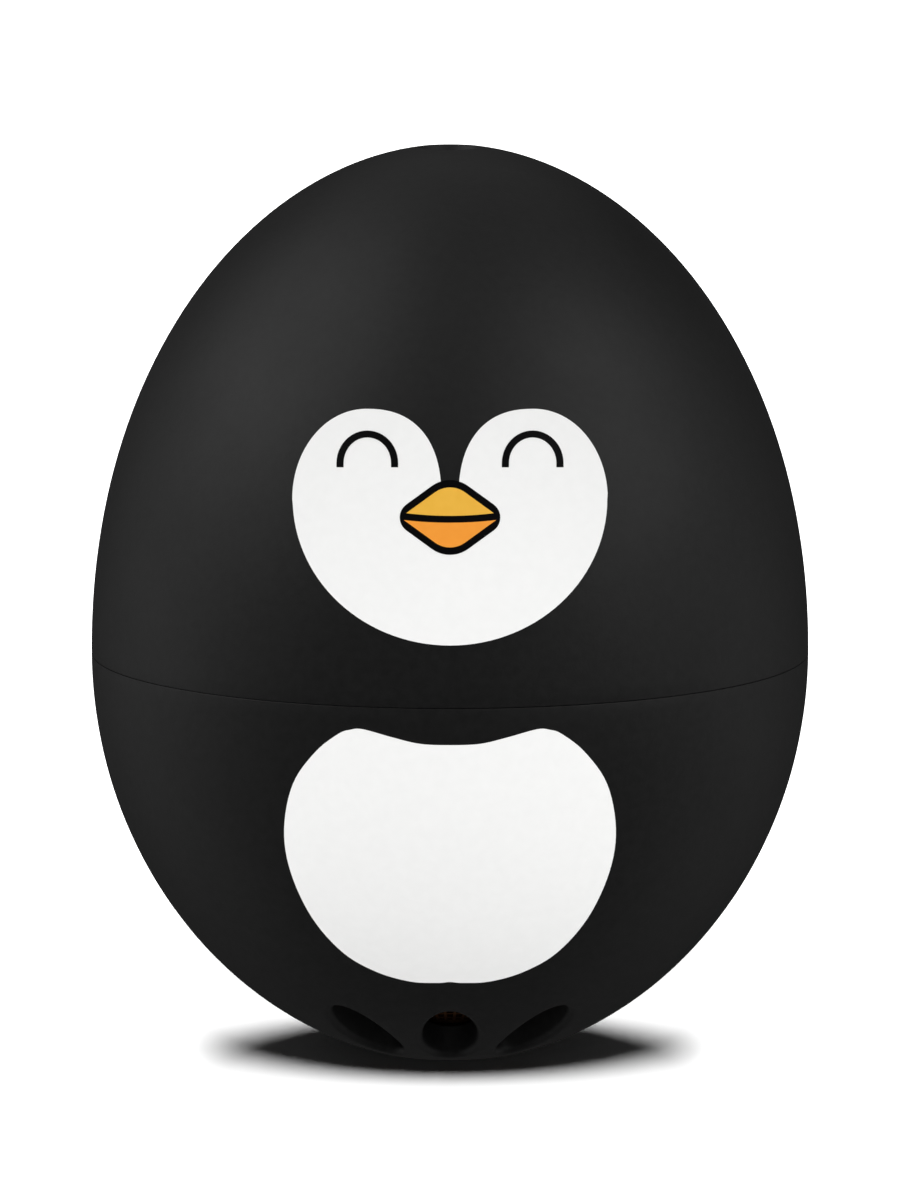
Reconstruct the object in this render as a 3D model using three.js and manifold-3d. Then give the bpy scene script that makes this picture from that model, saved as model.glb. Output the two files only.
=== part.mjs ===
// An egg-shaped kitchen timer that is boiled in the pot with the eggs and plays a tune when they are done.
// Two moulded half shells screw together at the widest height. The lower half holds a sealed sounder over a
// wet sound chamber, a ballast weight, a circuit board and a coin cell. Millimetres, +Z up, the origin at the
// centre of the flat foot, and the front of the egg towards -Y.
import * as THREE from "three";
import { mergeVertices } from "three/addons/utils/BufferGeometryUtils.js";
import Module from "manifold-3d";

const wasm = await Module();
wasm.setup();

// ---- driving dimensions -----------------------------------------------------------------------------------

const EGG_DIAMETER = 45;
const EGG_HEIGHT = 57;
const SEAM_Z = 25.2; // the widest height, where the two halves part
const FOOT_CUT = 0.85; // how far the egg's blunt pole would lie below the flat foot
const POINTED_END = { rise: 2.07, round: 1.94 }; // exponents of the superellipse above the seam
const BLUNT_END = { rise: 2.0, round: 1.91 }; // and below it
const WALL = 2;
const GAP = 0.2; // clearance between neighbouring mouldings
const SEAT = 0.1; // between faces that are clamped or glued together
const OVERRUN = 1; // how far a hole's cutter runs on past the piece

const ROUND = 40; // sides of the big round pieces
const SMALL = 20; // sides of the sounder's pieces
const TINY = 10; // sides of screws and bores
const PEG = 16; // sides of bosses, ears and small round components
// Segments of each outline.
const STEPS = { upperOuter: 9, upperInner: 6, lowerOuter: 8, chamber: 3, shoulder: 2 };

// ---- geometry helpers -------------------------------------------------------------------------------------

const degrees = THREE.MathUtils.degToRad;
const at = (r, z) => new THREE.Vector2(r, z);

// The egg's radius at height z, for the surface that lies `inset` inside the outer one.
function eggRadius(z, inset = 0) {
  const above = z >= SEAM_Z;
  const span = above ? EGG_HEIGHT - inset - SEAM_Z : SEAM_Z + FOOT_CUT - inset;
  const { rise, round } = above ? POINTED_END : BLUNT_END;
  const u = Math.min(1, Math.abs(z - SEAM_Z) / span);
  return (EGG_DIAMETER / 2 - inset) * (1 - u ** rise) ** (1 / round);
}

// Points along the egg's outline from height z0 to z1, evenly spaced in angle as seen from its middle.
function eggOutline(z0, z1, steps, inset = 0) {
  const span = z0 + z1 > 2 * SEAM_Z ? EGG_HEIGHT - inset - SEAM_Z : SEAM_Z + FOOT_CUT - inset;
  const angle = (z) => Math.asin(THREE.MathUtils.clamp((z - SEAM_Z) / span, -1, 1));
  return Array.from({ length: steps + 1 }, (_, i) => {
    const z = SEAM_Z + span * Math.sin(THREE.MathUtils.lerp(angle(z0), angle(z1), i / steps));
    return at(eggRadius(z, inset), z);
  });
}

// A closed geometry as a manifold-3d solid.
function solid(geometry) {
  const bare = geometry.clone().deleteAttribute("normal").deleteAttribute("uv");
  const merged = mergeVertices(bare, 1e-4);
  const mesh = new wasm.Mesh({
    numProp: 3,
    vertProperties: new Float32Array(merged.attributes.position.array),
    triVerts: new Uint32Array(merged.index.array),
  });
  return new wasm.Manifold(mesh);
}

// A manifold-3d solid as a geometry again.
function geometryOf(made) {
  const mesh = made.getMesh();
  const geometry = new THREE.BufferGeometry();
  geometry.setAttribute("position", new THREE.BufferAttribute(mesh.vertProperties, 3));
  geometry.setIndex(new THREE.BufferAttribute(mesh.triVerts, 1));
  geometry.computeVertexNormals();
  return geometry;
}

const cut = (body, ...tools) => geometryOf(tools.reduce((s, t) => s.subtract(solid(t)), solid(body)));
const join = (body, ...others) => geometryOf(others.reduce((s, t) => s.add(solid(t)), solid(body)));

// A solid of revolution about Z. The outline runs counter-clockwise in (radius, height), and is closed here.
function turned(outline, sides = ROUND) {
  const ends = [outline[0], outline[outline.length - 1]];
  const onAxis = ends.every((p) => p.x === 0);
  const closed = onAxis ? outline : [...outline, outline[0].clone()];
  return new THREE.LatheGeometry(closed, sides).rotateX(Math.PI / 2);
}

// A ring or disc with straight sides, from height z0 to z1.
function ring(inner, outer, z0, z1, sides = SMALL) {
  const outline = [at(inner, z0), at(outer, z0), at(outer, z1), at(inner, z1)];
  return turned(outline, sides);
}

// A flat disc from height z0 to z1.
function disc(radius, z0, z1, sides = SMALL) {
  return turned([at(0, z0), at(radius, z0), at(radius, z1), at(0, z1)], sides);
}

// A ring with its outer corners chamfered.
function chamferedRing(inner, outer, z0, z1, chamfer, sides = SMALL) {
  const corners = [
    at(inner, z0),
    at(outer - chamfer, z0),
    at(outer, z0 + chamfer),
    at(outer, z1 - chamfer),
    at(outer - chamfer, z1),
    at(inner, z1),
  ];
  return turned(corners, sides);
}

// An upright round post at radius `reach` and `angle` degrees round the axis.
function post(radius, z0, z1, reach, angle, sides = TINY) {
  const turn = degrees(angle);
  return new THREE.CylinderGeometry(radius, radius, z1 - z0, sides)
    .rotateX(Math.PI / 2)
    .translate(reach * Math.cos(turn), reach * Math.sin(turn), (z0 + z1) / 2);
}

// A flat shape given a thickness from height z0 to z1.
function plate(shape, z0, z1, curveSegments = 8) {
  const options = { depth: z1 - z0, bevelEnabled: false, curveSegments };
  return new THREE.ExtrudeGeometry(shape, options).translate(0, 0, z0);
}

// A box standing on height z0, moved to radius `reach` and turned `angle` degrees round the axis.
function block(radial, tangential, height, z0, reach = 0, angle = 0) {
  return new THREE.BoxGeometry(radial, tangential, height)
    .translate(reach, 0, z0 + height / 2)
    .rotateZ(degrees(angle));
}

// A round lead that follows a smooth curve through the points.
function lead(points, radius, steps) {
  const path = new THREE.CatmullRomCurve3(points.map((p) => new THREE.Vector3(...p)));
  const section = new THREE.Shape().absarc(0, 0, radius, 0, 2 * Math.PI, false);
  const options = { steps, extrudePath: path, curveSegments: 4, bevelEnabled: false };
  return new THREE.ExtrudeGeometry(section, options);
}

// ---- materials --------------------------------------------------------------------------------------------

const finish = (color, roughness, metalness = 0) =>
  new THREE.MeshStandardMaterial({ color, roughness, metalness });
const MATERIAL = {
  shell: finish(0x1c1c1c, 0.55),
  innerPlastic: finish(0x2b2b2d, 0.6),
  silicone: finish(0x8d9296, 0.7),
  gauze: finish(0x4a3424, 0.6, 0.6),
  brass: finish(0xb8913f, 0.35, 1),
  ceramic: finish(0xd9d3c4, 0.6),
  steel: finish(0x9a9da0, 0.35, 1),
  zinc: finish(0x8b8f93, 0.45, 1),
  foam: finish(0x3a3a3c, 0.95),
  board: finish(0x1f5a34, 0.5),
  component: finish(0x191a1c, 0.5),
  redLead: finish(0xb3261e, 0.5),
  blackLead: finish(0x171717, 0.5),
};

const egg = new THREE.Group();
const lowerHalf = new THREE.Group();
const upperHalf = new THREE.Group();
const coinCell = new THREE.Group();
egg.add(lowerHalf, upperHalf, coinCell);

function place(group, name, geometry, material) {
  const mesh = new THREE.Mesh(geometry, material);
  mesh.name = name;
  group.add(mesh);
}

// ---- screw closure ----------------------------------------------------------------------------------------
// Four short ridges on the neck and four inside the upper shell, all on one right-handed lead, so turning the
// upper shell anticlockwise (seen from above) lifts it along the same helix that the ridges follow.

const NECK = { outer: 19.2, inner: 17.4, top: 32.3 };
const SKIRT = { bore: 20.2, top: 32.9, domeFoot: 33.3 }; // the upper shell's bore that fits over the neck
const RIDGE = {
  starts: 4,
  lead: 12, // rise in one full turn
  arc: 80, // degrees that each ridge covers
  height: 0.75,
  crest: 0.7, // width across the top of the ridge
  chamfer: 0.3,
};
const NECK_RIDGE_Z = 28.5; // middle of a neck ridge at its low end
const SKIRT_RIDGE_ANGLE = 27; // where a skirt ridge starts, in degrees after the neck ridge above it
const RIDGE_ROOT = 0.5; // how deep a ridge is sunk in its wall
const RIDGE_STEPS = 6;

// One ridge: a flat arc with chamfered edges, sheared up along the helix.
function ridge(inner, outer, startAngle, startZ) {
  const shape = new THREE.Shape();
  const first = degrees(startAngle);
  const last = degrees(startAngle + RIDGE.arc);
  shape.absarc(0, 0, outer - RIDGE.chamfer, first, last, false);
  shape.absarc(0, 0, inner + RIDGE.chamfer, last, first, true);
  const bevel = {
    bevelThickness: RIDGE.chamfer,
    bevelSize: RIDGE.chamfer,
    bevelSegments: 1,
  };
  const options = { depth: RIDGE.crest, curveSegments: RIDGE_STEPS, steps: 1, ...bevel };
  const flat = new THREE.ExtrudeGeometry(shape, options).translate(0, 0, startZ - RIDGE.crest / 2);
  const position = flat.attributes.position;
  for (let i = 0; i < position.count; i++) {
    const angle = Math.atan2(position.getY(i), position.getX(i)) - first;
    const wrapped = THREE.MathUtils.euclideanModulo(angle + Math.PI / 2, 2 * Math.PI) - Math.PI / 2;
    position.setZ(i, position.getZ(i) + (RIDGE.lead * wrapped) / (2 * Math.PI));
  }
  return flat;
}

const startAngles = Array.from({ length: RIDGE.starts }, (_, i) => (360 / RIDGE.starts) * i);

function neckRidges() {
  return startAngles.map((a) => ridge(NECK.outer - RIDGE_ROOT, NECK.outer + RIDGE.height, a, NECK_RIDGE_Z));
}

// The skirt's ridges run half a pitch below the neck's.
function skirtRidges() {
  const halfPitch = RIDGE.lead / RIDGE.starts / 2;
  const climb = (RIDGE.lead * SKIRT_RIDGE_ANGLE) / 360;
  const startZ = NECK_RIDGE_Z - halfPitch + climb;
  const inner = SKIRT.bore - RIDGE.height;
  return startAngles.map((a) => ridge(inner, SKIRT.bore + RIDGE_ROOT, a + SKIRT_RIDGE_ANGLE, startZ));
}

// ---- upper shell and its seal -----------------------------------------------------------------------------

const SEAL_GROOVE = { outer: 21.5, top: 26.9 };
const SEAL = { inner: 20.35, outer: 21.35, bottom: 25.3, top: 26.7, chamfer: 0.25 };
const DIMPLE = { belowPole: 0.14, floor: 1.5, depth: 0.8 }; // the moulding's gate recess at the pole

function upperShell() {
  const rim = SEAM_Z + GAP;
  const dimpleRim = EGG_HEIGHT - DIMPLE.belowPole;
  const pole = EGG_HEIGHT - WALL;
  const outline = [
    at(SEAL_GROOVE.outer, rim),
    ...eggOutline(rim, dimpleRim, STEPS.upperOuter),
    at(DIMPLE.floor, dimpleRim - DIMPLE.depth),
    at(0, dimpleRim - DIMPLE.depth),
    at(0, pole),
    ...eggOutline(SKIRT.domeFoot, pole, STEPS.upperInner, WALL).reverse().slice(1),
    at(SKIRT.bore, SKIRT.top),
    at(SKIRT.bore, SEAL_GROOVE.top),
    at(SEAL_GROOVE.outer, SEAL_GROOVE.top),
  ];
  // The outline closes along the axis, between the dimple and the inner pole.
  const axisFirst = outline.findIndex((p) => p.x === 0);
  const opened = [...outline.slice(axisFirst + 1), ...outline.slice(0, axisFirst + 1)];
  return join(turned(opened), ...skirtRidges());
}

place(upperHalf, "upper_shell", upperShell(), MATERIAL.shell);
place(
  upperHalf,
  "seal_ring",
  chamferedRing(SEAL.inner, SEAL.outer, SEAL.bottom, SEAL.top, SEAL.chamfer, ROUND),
  MATERIAL.silicone,
);

// ---- lower shell ------------------------------------------------------------------------------------------

// The thread ring sits on this ledge, in a mouth that widens towards the seam.
const RING_SEAT = { z: 20.9, inner: 19.3, outer: 20.2, mouth: 20.45, slopeFoot: 17.2 };
const BULKHEAD_SEAT = { z: 9, reach: 13.95, below: 7.6 }; // and the bulkhead on this one
const PORTS = {
  groups: 2,
  perGroup: 3,
  pitch: 30, // degrees between neighbours in a group
  reach: 10.45, // from the axis to the middle of a port
  halfLength: 3.85,
  halfWidth: 1.7,
  tilt: 32.5, // how far the wall leans at the ports, in degrees from level
  cut: 3 * WALL, // length of the cutter, more than the wall's thickness
  steps: 7,
};
const FRONT = -90; // the front of the egg, in degrees from +X

function portCutter(angle) {
  const { halfLength, halfWidth, cut: depth, steps: curveSegments } = PORTS;
  const oval = new THREE.Shape().absellipse(0, 0, halfLength, halfWidth, 0, 2 * Math.PI, false, 0);
  const share = (2 * PORTS.reach) / EGG_DIAMETER;
  const middleZ = SEAM_Z - (SEAM_Z + FOOT_CUT) * Math.sqrt(1 - share ** BLUNT_END.round);
  return new THREE.ExtrudeGeometry(oval, { depth, bevelEnabled: false, curveSegments })
    .translate(0, 0, -depth / 2)
    .rotateY(-degrees(PORTS.tilt))
    .translate(PORTS.reach, 0, middleZ)
    .rotateZ(degrees(angle));
}

function portAngles() {
  const angles = [];
  for (let g = 0; g < PORTS.groups; g++)
    for (let k = 0; k < PORTS.perGroup; k++)
      angles.push(FRONT + (360 / PORTS.groups) * g + PORTS.pitch * (k - (PORTS.perGroup - 1) / 2));
  return angles;
}

function lowerShell() {
  const outline = [
    at(0, 0),
    ...eggOutline(0, SEAM_Z, STEPS.lowerOuter),
    at(RING_SEAT.mouth, SEAM_Z),
    at(RING_SEAT.outer, RING_SEAT.z),
    at(RING_SEAT.inner, RING_SEAT.z),
    ...eggOutline(BULKHEAD_SEAT.z, RING_SEAT.slopeFoot, STEPS.shoulder, WALL).reverse(),
    at(BULKHEAD_SEAT.reach, BULKHEAD_SEAT.z),
    ...eggOutline(WALL, BULKHEAD_SEAT.below, STEPS.chamber, WALL).reverse(),
    at(0, WALL),
  ];
  return cut(turned(outline), ...portAngles().map(portCutter));
}

place(lowerHalf, "lower_shell", lowerShell(), MATERIAL.shell);

// A bowl of metal gauze behind the ports keeps egg white and scale out of the sounder.
const GAUZE = { gap: 0.15, thickness: 0.4, bottom: 2.5, top: 7.2 };

function portGauze() {
  const { gap, thickness, bottom, top } = GAUZE;
  const outer = eggOutline(bottom, top, STEPS.chamber, WALL + gap);
  const inner = eggOutline(bottom + thickness, top, STEPS.chamber, WALL + gap + thickness);
  return turned([...outer, ...inner.reverse()]);
}

place(lowerHalf, "port_gauze", portGauze(), MATERIAL.gauze);

// ---- sounder and its bulkhead -----------------------------------------------------------------------------

const BULKHEAD = { bottom: 9.1, top: 10.8, seat: 7.7, seatZ: 9.9, opening: 6.2, holeFloor: 0.4 };
const GLUE = 0.05; // film between the sounder's layers, and under each soldered component
const SOUNDER = { brass: 7.5, brassZ: 10.35, brassThick: 0.3, ceramic: 5, ceramicThick: 0.25 };
const CLAMP = {
  inner: 6.3,
  outer: 9,
  top: 13.2,
  play: 0.07, // between its lip and the sounder
  earReach: 10.3,
  earRadius: 1.6,
  earTop: 12.1,
  earRoot: 2, // radial length of the web that joins an ear to the ring
  earRootInset: 1.2,
};
const CLAMP_SCREW_ANGLES = [90, 210, 330];
const PROBE = {
  reach: 11,
  angle: 30,
  radius: 1.25,
  bore: 0.85,
  bottom: 6.6,
  top: 12.4,
  fit: 0.15, // between the tube and its hole
  nose: 0.8, // height of the rounded end
  noseFlat: 0.6, // share of the radius where the nose turns up
  noseRise: 0.2,
  endWall: 0.5,
  flange: { out: 0.4, thickness: 0.5 },
};
const SCREW = {
  shank: 0.7,
  hole: 0.85,
  head: 1.35,
  headHeight: 0.8,
  tip: 0.6,
  recess: 0.35,
  slot: 0.35,
  slotShare: 1.1, // length of a slot, as a share of the head's radius
  brim: 0.5, // height of the head's upright edge, as a share of the head's height
  crown: 0.6, // radius of the head's flat top, as a share of the head's radius
};
const CLAMP_SCREW_LENGTH = 2.4;

function bulkhead() {
  const outline = [
    at(BULKHEAD.opening, BULKHEAD.bottom),
    at(eggRadius(BULKHEAD.bottom, WALL + GAP), BULKHEAD.bottom),
    at(eggRadius(BULKHEAD.top, WALL + GAP), BULKHEAD.top),
    at(BULKHEAD.seat, BULKHEAD.top),
    at(BULKHEAD.seat, BULKHEAD.seatZ),
    at(BULKHEAD.opening, BULKHEAD.seatZ),
  ];
  const screwHoles = CLAMP_SCREW_ANGLES.map((a) =>
    post(SCREW.hole, BULKHEAD.bottom + BULKHEAD.holeFloor, BULKHEAD.top + OVERRUN, CLAMP.earReach, a),
  );
  const [low, high] = [BULKHEAD.bottom - OVERRUN, BULKHEAD.top + OVERRUN];
  const probeHole = post(PROBE.radius + PROBE.fit, low, high, PROBE.reach, PROBE.angle, PEG);
  return cut(turned(outline), probeHole, ...screwHoles);
}

function sounderClamp() {
  const lip = SOUNDER.brassZ + SOUNDER.brassThick + CLAMP.play;
  const foot = BULKHEAD.top + SEAT;
  const outline = [
    at(CLAMP.inner, lip),
    at(SOUNDER.brass - SEAT, lip),
    at(SOUNDER.brass - SEAT, foot),
    at(CLAMP.outer, foot),
    at(CLAMP.outer, CLAMP.top),
    at(CLAMP.inner, CLAMP.top),
  ];
  const webReach = CLAMP.earReach - CLAMP.earRootInset;
  const ears = CLAMP_SCREW_ANGLES.flatMap((a) => [
    post(CLAMP.earRadius, foot, CLAMP.earTop, CLAMP.earReach, a, PEG),
    block(CLAMP.earRoot, 2 * CLAMP.earRadius, CLAMP.earTop - foot, foot, webReach, a),
  ]);
  const holes = CLAMP_SCREW_ANGLES.map((a) =>
    post(SCREW.hole, foot - OVERRUN, CLAMP.earTop + OVERRUN, CLAMP.earReach, a),
  );
  return cut(join(turned(outline, SMALL), ...ears), ...holes);
}

// A pan-head screw with a cross recess, standing with its tip down and the underside of its head at height z.
function screw(length, z, reach, angle) {
  const { shank, head, headHeight, recess, tip, slot, slotShare, brim, crown } = SCREW;
  const outline = [
    at(0, -length),
    at(shank, -length + tip),
    at(shank, 0),
    at(head, 0),
    at(head, headHeight * brim),
    at(head * crown, headHeight),
    at(0, headHeight),
  ];
  const slots = [0, 90].map((turn) =>
    new THREE.BoxGeometry(head * slotShare, slot, 2 * recess)
      .translate(0, 0, headHeight)
      .rotateZ(degrees(turn)),
  );
  const turn = degrees(angle);
  return cut(turned(outline, TINY), ...slots).translate(reach * Math.cos(turn), reach * Math.sin(turn), z);
}

place(lowerHalf, "bulkhead", bulkhead(), MATERIAL.innerPlastic);
place(
  lowerHalf,
  "sounder_gasket",
  ring(BULKHEAD.opening + SEAT, SOUNDER.brass, BULKHEAD.seatZ + GLUE, SOUNDER.brassZ - GLUE),
  MATERIAL.silicone,
);
place(
  lowerHalf,
  "sounder_plate",
  disc(SOUNDER.brass, SOUNDER.brassZ, SOUNDER.brassZ + SOUNDER.brassThick),
  MATERIAL.brass,
);
const ceramicZ = SOUNDER.brassZ + SOUNDER.brassThick + GLUE;
const ceramicTop = ceramicZ + SOUNDER.ceramicThick;
place(lowerHalf, "sounder_ceramic", disc(SOUNDER.ceramic, ceramicZ, ceramicTop), MATERIAL.ceramic);
place(lowerHalf, "sounder_clamp", sounderClamp(), MATERIAL.innerPlastic);
CLAMP_SCREW_ANGLES.forEach((a, i) => {
  const made = screw(CLAMP_SCREW_LENGTH, CLAMP.earTop + SEAT, CLAMP.earReach, a);
  place(lowerHalf, `clamp_screw_${i + 1}`, made, MATERIAL.steel);
});

// ---- temperature probe ------------------------------------------------------------------------------------

const probeX = PROBE.reach * Math.cos(degrees(PROBE.angle));
const probeY = PROBE.reach * Math.sin(degrees(PROBE.angle));

// A closed tube that hangs into the wet chamber, with a flange that is glued to the bulkhead.
function probeTube() {
  const { radius, bore, bottom, top, nose, flange } = PROBE;
  const seat = BULKHEAD.top + SEAT;
  const outline = [
    at(0, bottom),
    at(radius * PROBE.noseFlat, bottom + PROBE.noseRise),
    at(radius, bottom + nose),
    at(radius, seat),
    at(radius + flange.out, seat),
    at(radius + flange.out, seat + flange.thickness),
    at(radius, seat + flange.thickness),
    at(radius, top),
    at(bore, top),
    at(bore, bottom + nose),
    at(0, bottom + PROBE.endWall),
  ];
  return turned(outline, PEG).translate(probeX, probeY, 0);
}

const BEAD = { radius: 0.65, z: 8.1, around: 10, upwards: 8 };

function thermistorBead() {
  return new THREE.SphereGeometry(BEAD.radius, BEAD.around, BEAD.upwards)
    .rotateX(Math.PI / 2)
    .translate(probeX, probeY, BEAD.z);
}

place(lowerHalf, "probe_tube", probeTube(), MATERIAL.steel);
place(lowerHalf, "thermistor_bead", thermistorBead(), MATERIAL.component);

// ---- ballast and thread ring ------------------------------------------------------------------------------

const BALLAST = { wide: 15.6, narrow: 13.4, bottom: 13.3, step: 16.7, top: 20.6, hole: 6, chamfer: 0.5 };
const TRAY_SCREW = {
  angles: [60, 180, 300],
  reach: 15.6,
  boss: 1.9, // radius of the boss under it
  bossBottom: 17,
  holeFloor: 0.8,
  length: 4.4,
};
const TRAY_LEDGE = { inner: 15.2, bottom: 21, top: 22.2 };
const FLANGE = { skirt: 19.9, outer: 20.3, bottom: 24.2, top: SEAM_Z - GAP, slope: 0.4 };
const NECK_CHAMFER = 0.4;
const LEAD_HOLE = { radius: 1.3, sides: 12 };

// The cutter for the hole that the thermistor's lead goes up through.
function leadHole(z0, z1) {
  return post(LEAD_HOLE.radius, z0 - OVERRUN, z1 + OVERRUN, PROBE.reach, PROBE.angle, LEAD_HOLE.sides);
}

function ballastWeight() {
  const c = BALLAST.chamfer;
  const outline = [
    at(BALLAST.hole, BALLAST.bottom),
    at(BALLAST.wide - c, BALLAST.bottom),
    at(BALLAST.wide, BALLAST.bottom + c),
    at(BALLAST.wide, BALLAST.step - c),
    at(BALLAST.wide - c, BALLAST.step),
    at(BALLAST.narrow, BALLAST.step),
    at(BALLAST.narrow, BALLAST.top - c),
    at(BALLAST.narrow - c, BALLAST.top),
    at(BALLAST.hole, BALLAST.top),
  ];
  return cut(turned(outline), leadHole(BALLAST.bottom, BALLAST.top));
}

function threadRing() {
  const outline = [
    at(TRAY_LEDGE.inner, TRAY_LEDGE.bottom),
    at(FLANGE.skirt, TRAY_LEDGE.bottom),
    at(FLANGE.skirt, FLANGE.bottom - FLANGE.slope),
    at(FLANGE.outer, FLANGE.bottom),
    at(FLANGE.outer, FLANGE.top),
    at(NECK.outer, FLANGE.top),
    at(NECK.outer, NECK.top - NECK_CHAMFER),
    at(NECK.outer - NECK_CHAMFER, NECK.top),
    at(NECK.inner, NECK.top),
    at(NECK.inner, TRAY_LEDGE.top),
    at(TRAY_LEDGE.inner, TRAY_LEDGE.top),
  ];
  const bosses = TRAY_SCREW.angles.map((a) =>
    post(TRAY_SCREW.boss, TRAY_SCREW.bossBottom, TRAY_LEDGE.top, TRAY_SCREW.reach, a, PEG),
  );
  const holeFloor = TRAY_SCREW.bossBottom + TRAY_SCREW.holeFloor;
  const holes = TRAY_SCREW.angles.map((a) =>
    post(SCREW.hole, holeFloor, TRAY_LEDGE.top + OVERRUN, TRAY_SCREW.reach, a),
  );
  return cut(join(turned(outline), ...bosses, ...neckRidges()), ...holes);
}

place(lowerHalf, "ballast_weight", ballastWeight(), MATERIAL.zinc);
place(lowerHalf, "thread_ring", threadRing(), MATERIAL.innerPlastic);

// ---- tray and circuit board -------------------------------------------------------------------------------

const TRAY = { radius: 17.1, bottom: 22.35, top: 23.75, hole: 3.2 };
const BOARD = { radius: 16.6, bottom: 30.4, top: 31.4, steps: 14 };
const BOARD_SCREW = { angles: [0, 120, 240], reach: 14.2, post: 1.8, postSides: 14, hole: 4.3, length: 3.6 };
const POST_ROOT = 0.2; // how deep a post is sunk in the tray
const LOOSE = 0.1; // extra radius of a hole that a screw passes through freely
const PAD = { radius: 9.4, bottom: 20.75, top: 22.2 };

function tray() {
  const { post: radius, postSides, reach } = BOARD_SCREW;
  const postTop = BOARD.bottom - SEAT;
  const root = TRAY.top - POST_ROOT;
  const holeFloor = postTop - BOARD_SCREW.hole;
  const posts = BOARD_SCREW.angles.map((a) => post(radius, root, postTop, reach, a, postSides));
  const [low, high] = [TRAY.bottom - OVERRUN, TRAY.top + OVERRUN];
  const holes = [
    ...BOARD_SCREW.angles.map((a) => post(SCREW.hole, holeFloor, postTop + OVERRUN, reach, a)),
    ...TRAY_SCREW.angles.map((a) => post(SCREW.hole + LOOSE, low, high, TRAY_SCREW.reach, a)),
    leadHole(TRAY.bottom, TRAY.top),
  ];
  return cut(join(ring(TRAY.hole, TRAY.radius, TRAY.bottom, TRAY.top, ROUND), ...posts), ...holes);
}

function circuitBoard() {
  const shape = new THREE.Shape().absarc(0, 0, BOARD.radius, 0, 2 * Math.PI, false);
  const [low, high] = [BOARD.bottom - OVERRUN, BOARD.top + OVERRUN];
  const holes = BOARD_SCREW.angles.map((a) => post(SCREW.hole + LOOSE, low, high, BOARD_SCREW.reach, a));
  return cut(plate(shape, BOARD.bottom, BOARD.top, BOARD.steps), ...holes);
}

place(lowerHalf, "foam_pad", ring(TRAY.hole, PAD.radius, PAD.bottom, PAD.top), MATERIAL.foam);
place(lowerHalf, "tray", tray(), MATERIAL.innerPlastic);
place(lowerHalf, "circuit_board", circuitBoard(), MATERIAL.board);
TRAY_SCREW.angles.forEach((a, i) => {
  const made = screw(TRAY_SCREW.length, TRAY.top + SEAT, TRAY_SCREW.reach, a);
  place(lowerHalf, `tray_screw_${i + 1}`, made, MATERIAL.steel);
});
BOARD_SCREW.angles.forEach((a, i) => {
  const made = screw(BOARD_SCREW.length, BOARD.top + SEAT, BOARD_SCREW.reach, a);
  place(lowerHalf, `board_screw_${i + 1}`, made, MATERIAL.steel);
});

// Components soldered on top of the board, round the battery holder.
const ON_BOARD = BOARD.top + GLUE;
const COMPONENT_REACH = 14.1; // from the axis to the middle of each component
const CHIP = { radial: 3, tangential: 4.4, height: 1.3 };
const CRYSTAL = { radius: 1, length: 6, angle: 300, sides: 14 };
const COIL = { radius: 2.1, height: 3, angle: 215 };
const CAPACITOR = { radius: 2, height: 4.2, angle: 165 };
const RESISTOR = { radial: 1.6, tangential: 3.2, height: 0.6, angles: [20, 330] };
const COMPONENT_CHAMFER = 0.3;

function upright(name, { radius, height, angle }) {
  const body = chamferedRing(0, radius, ON_BOARD, ON_BOARD + height, COMPONENT_CHAMFER, PEG);
  const turn = degrees(angle);
  body.translate(COMPONENT_REACH * Math.cos(turn), COMPONENT_REACH * Math.sin(turn), 0);
  place(lowerHalf, name, body, MATERIAL.component);
}

function flat(name, { radial, tangential, height }, angle) {
  const body = block(radial, tangential, height, ON_BOARD, COMPONENT_REACH, angle);
  place(lowerHalf, name, body, MATERIAL.component);
}

function timingCrystal() {
  const { radius, length, sides, angle } = CRYSTAL;
  return new THREE.CylinderGeometry(radius, radius, length, sides)
    .translate(COMPONENT_REACH, 0, ON_BOARD + radius)
    .rotateZ(degrees(angle));
}

flat("melody_chip", CHIP, FRONT);
place(lowerHalf, "timing_crystal", timingCrystal(), MATERIAL.steel);
upright("booster_coil", COIL);
upright("smoothing_capacitor", CAPACITOR);
RESISTOR.angles.forEach((a, i) => flat(`resistor_${i + 1}`, RESISTOR, a));

// ---- battery holder and coin cell -------------------------------------------------------------------------

const CELL = {
  radius: 10,
  bottom: 32.7,
  top: 35.9,
  edge: 0.25, // chamfer of the can's corners
  bandBottom: 33,
  recess: 0.4, // how far the can's underside lies above its band
  capRadius: 8.7,
  capEdge: { in: 0.4, up: 0.2 },
  capRise: 0.3, // how far the cap and the grommet reach up into the recess
  grommetRadius: 9.15,
};
const HOLDER = {
  bottom: 31.5,
  floor: 32.5,
  top: 35.6,
  wall: 1.2,
  clearance: 0.3,
  length: 8,
  steps: 14,
  mouth: { length: 6, height: 5 },
  pocket: { length: 16, width: 4, depth: 0.6, height: 1 },
};
const STRAP = { thickness: 0.35, width: 5, middleY: -1.5, legX: 12, top: 36.35 };
const LEAF = { half: 6.5, foot: 0.55, arch: 1.1, thickness: 0.2, side: 0.5, steps: 8 };

// A U of the given half width, open towards the rear, where the coin cell slides out.
function uShape(half) {
  const shape = new THREE.Shape();
  shape.moveTo(half, HOLDER.length);
  shape.lineTo(-half, HOLDER.length);
  shape.lineTo(-half, 0);
  shape.absarc(0, 0, half, Math.PI, 2 * Math.PI, false);
  shape.closePath();
  return shape;
}

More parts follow.
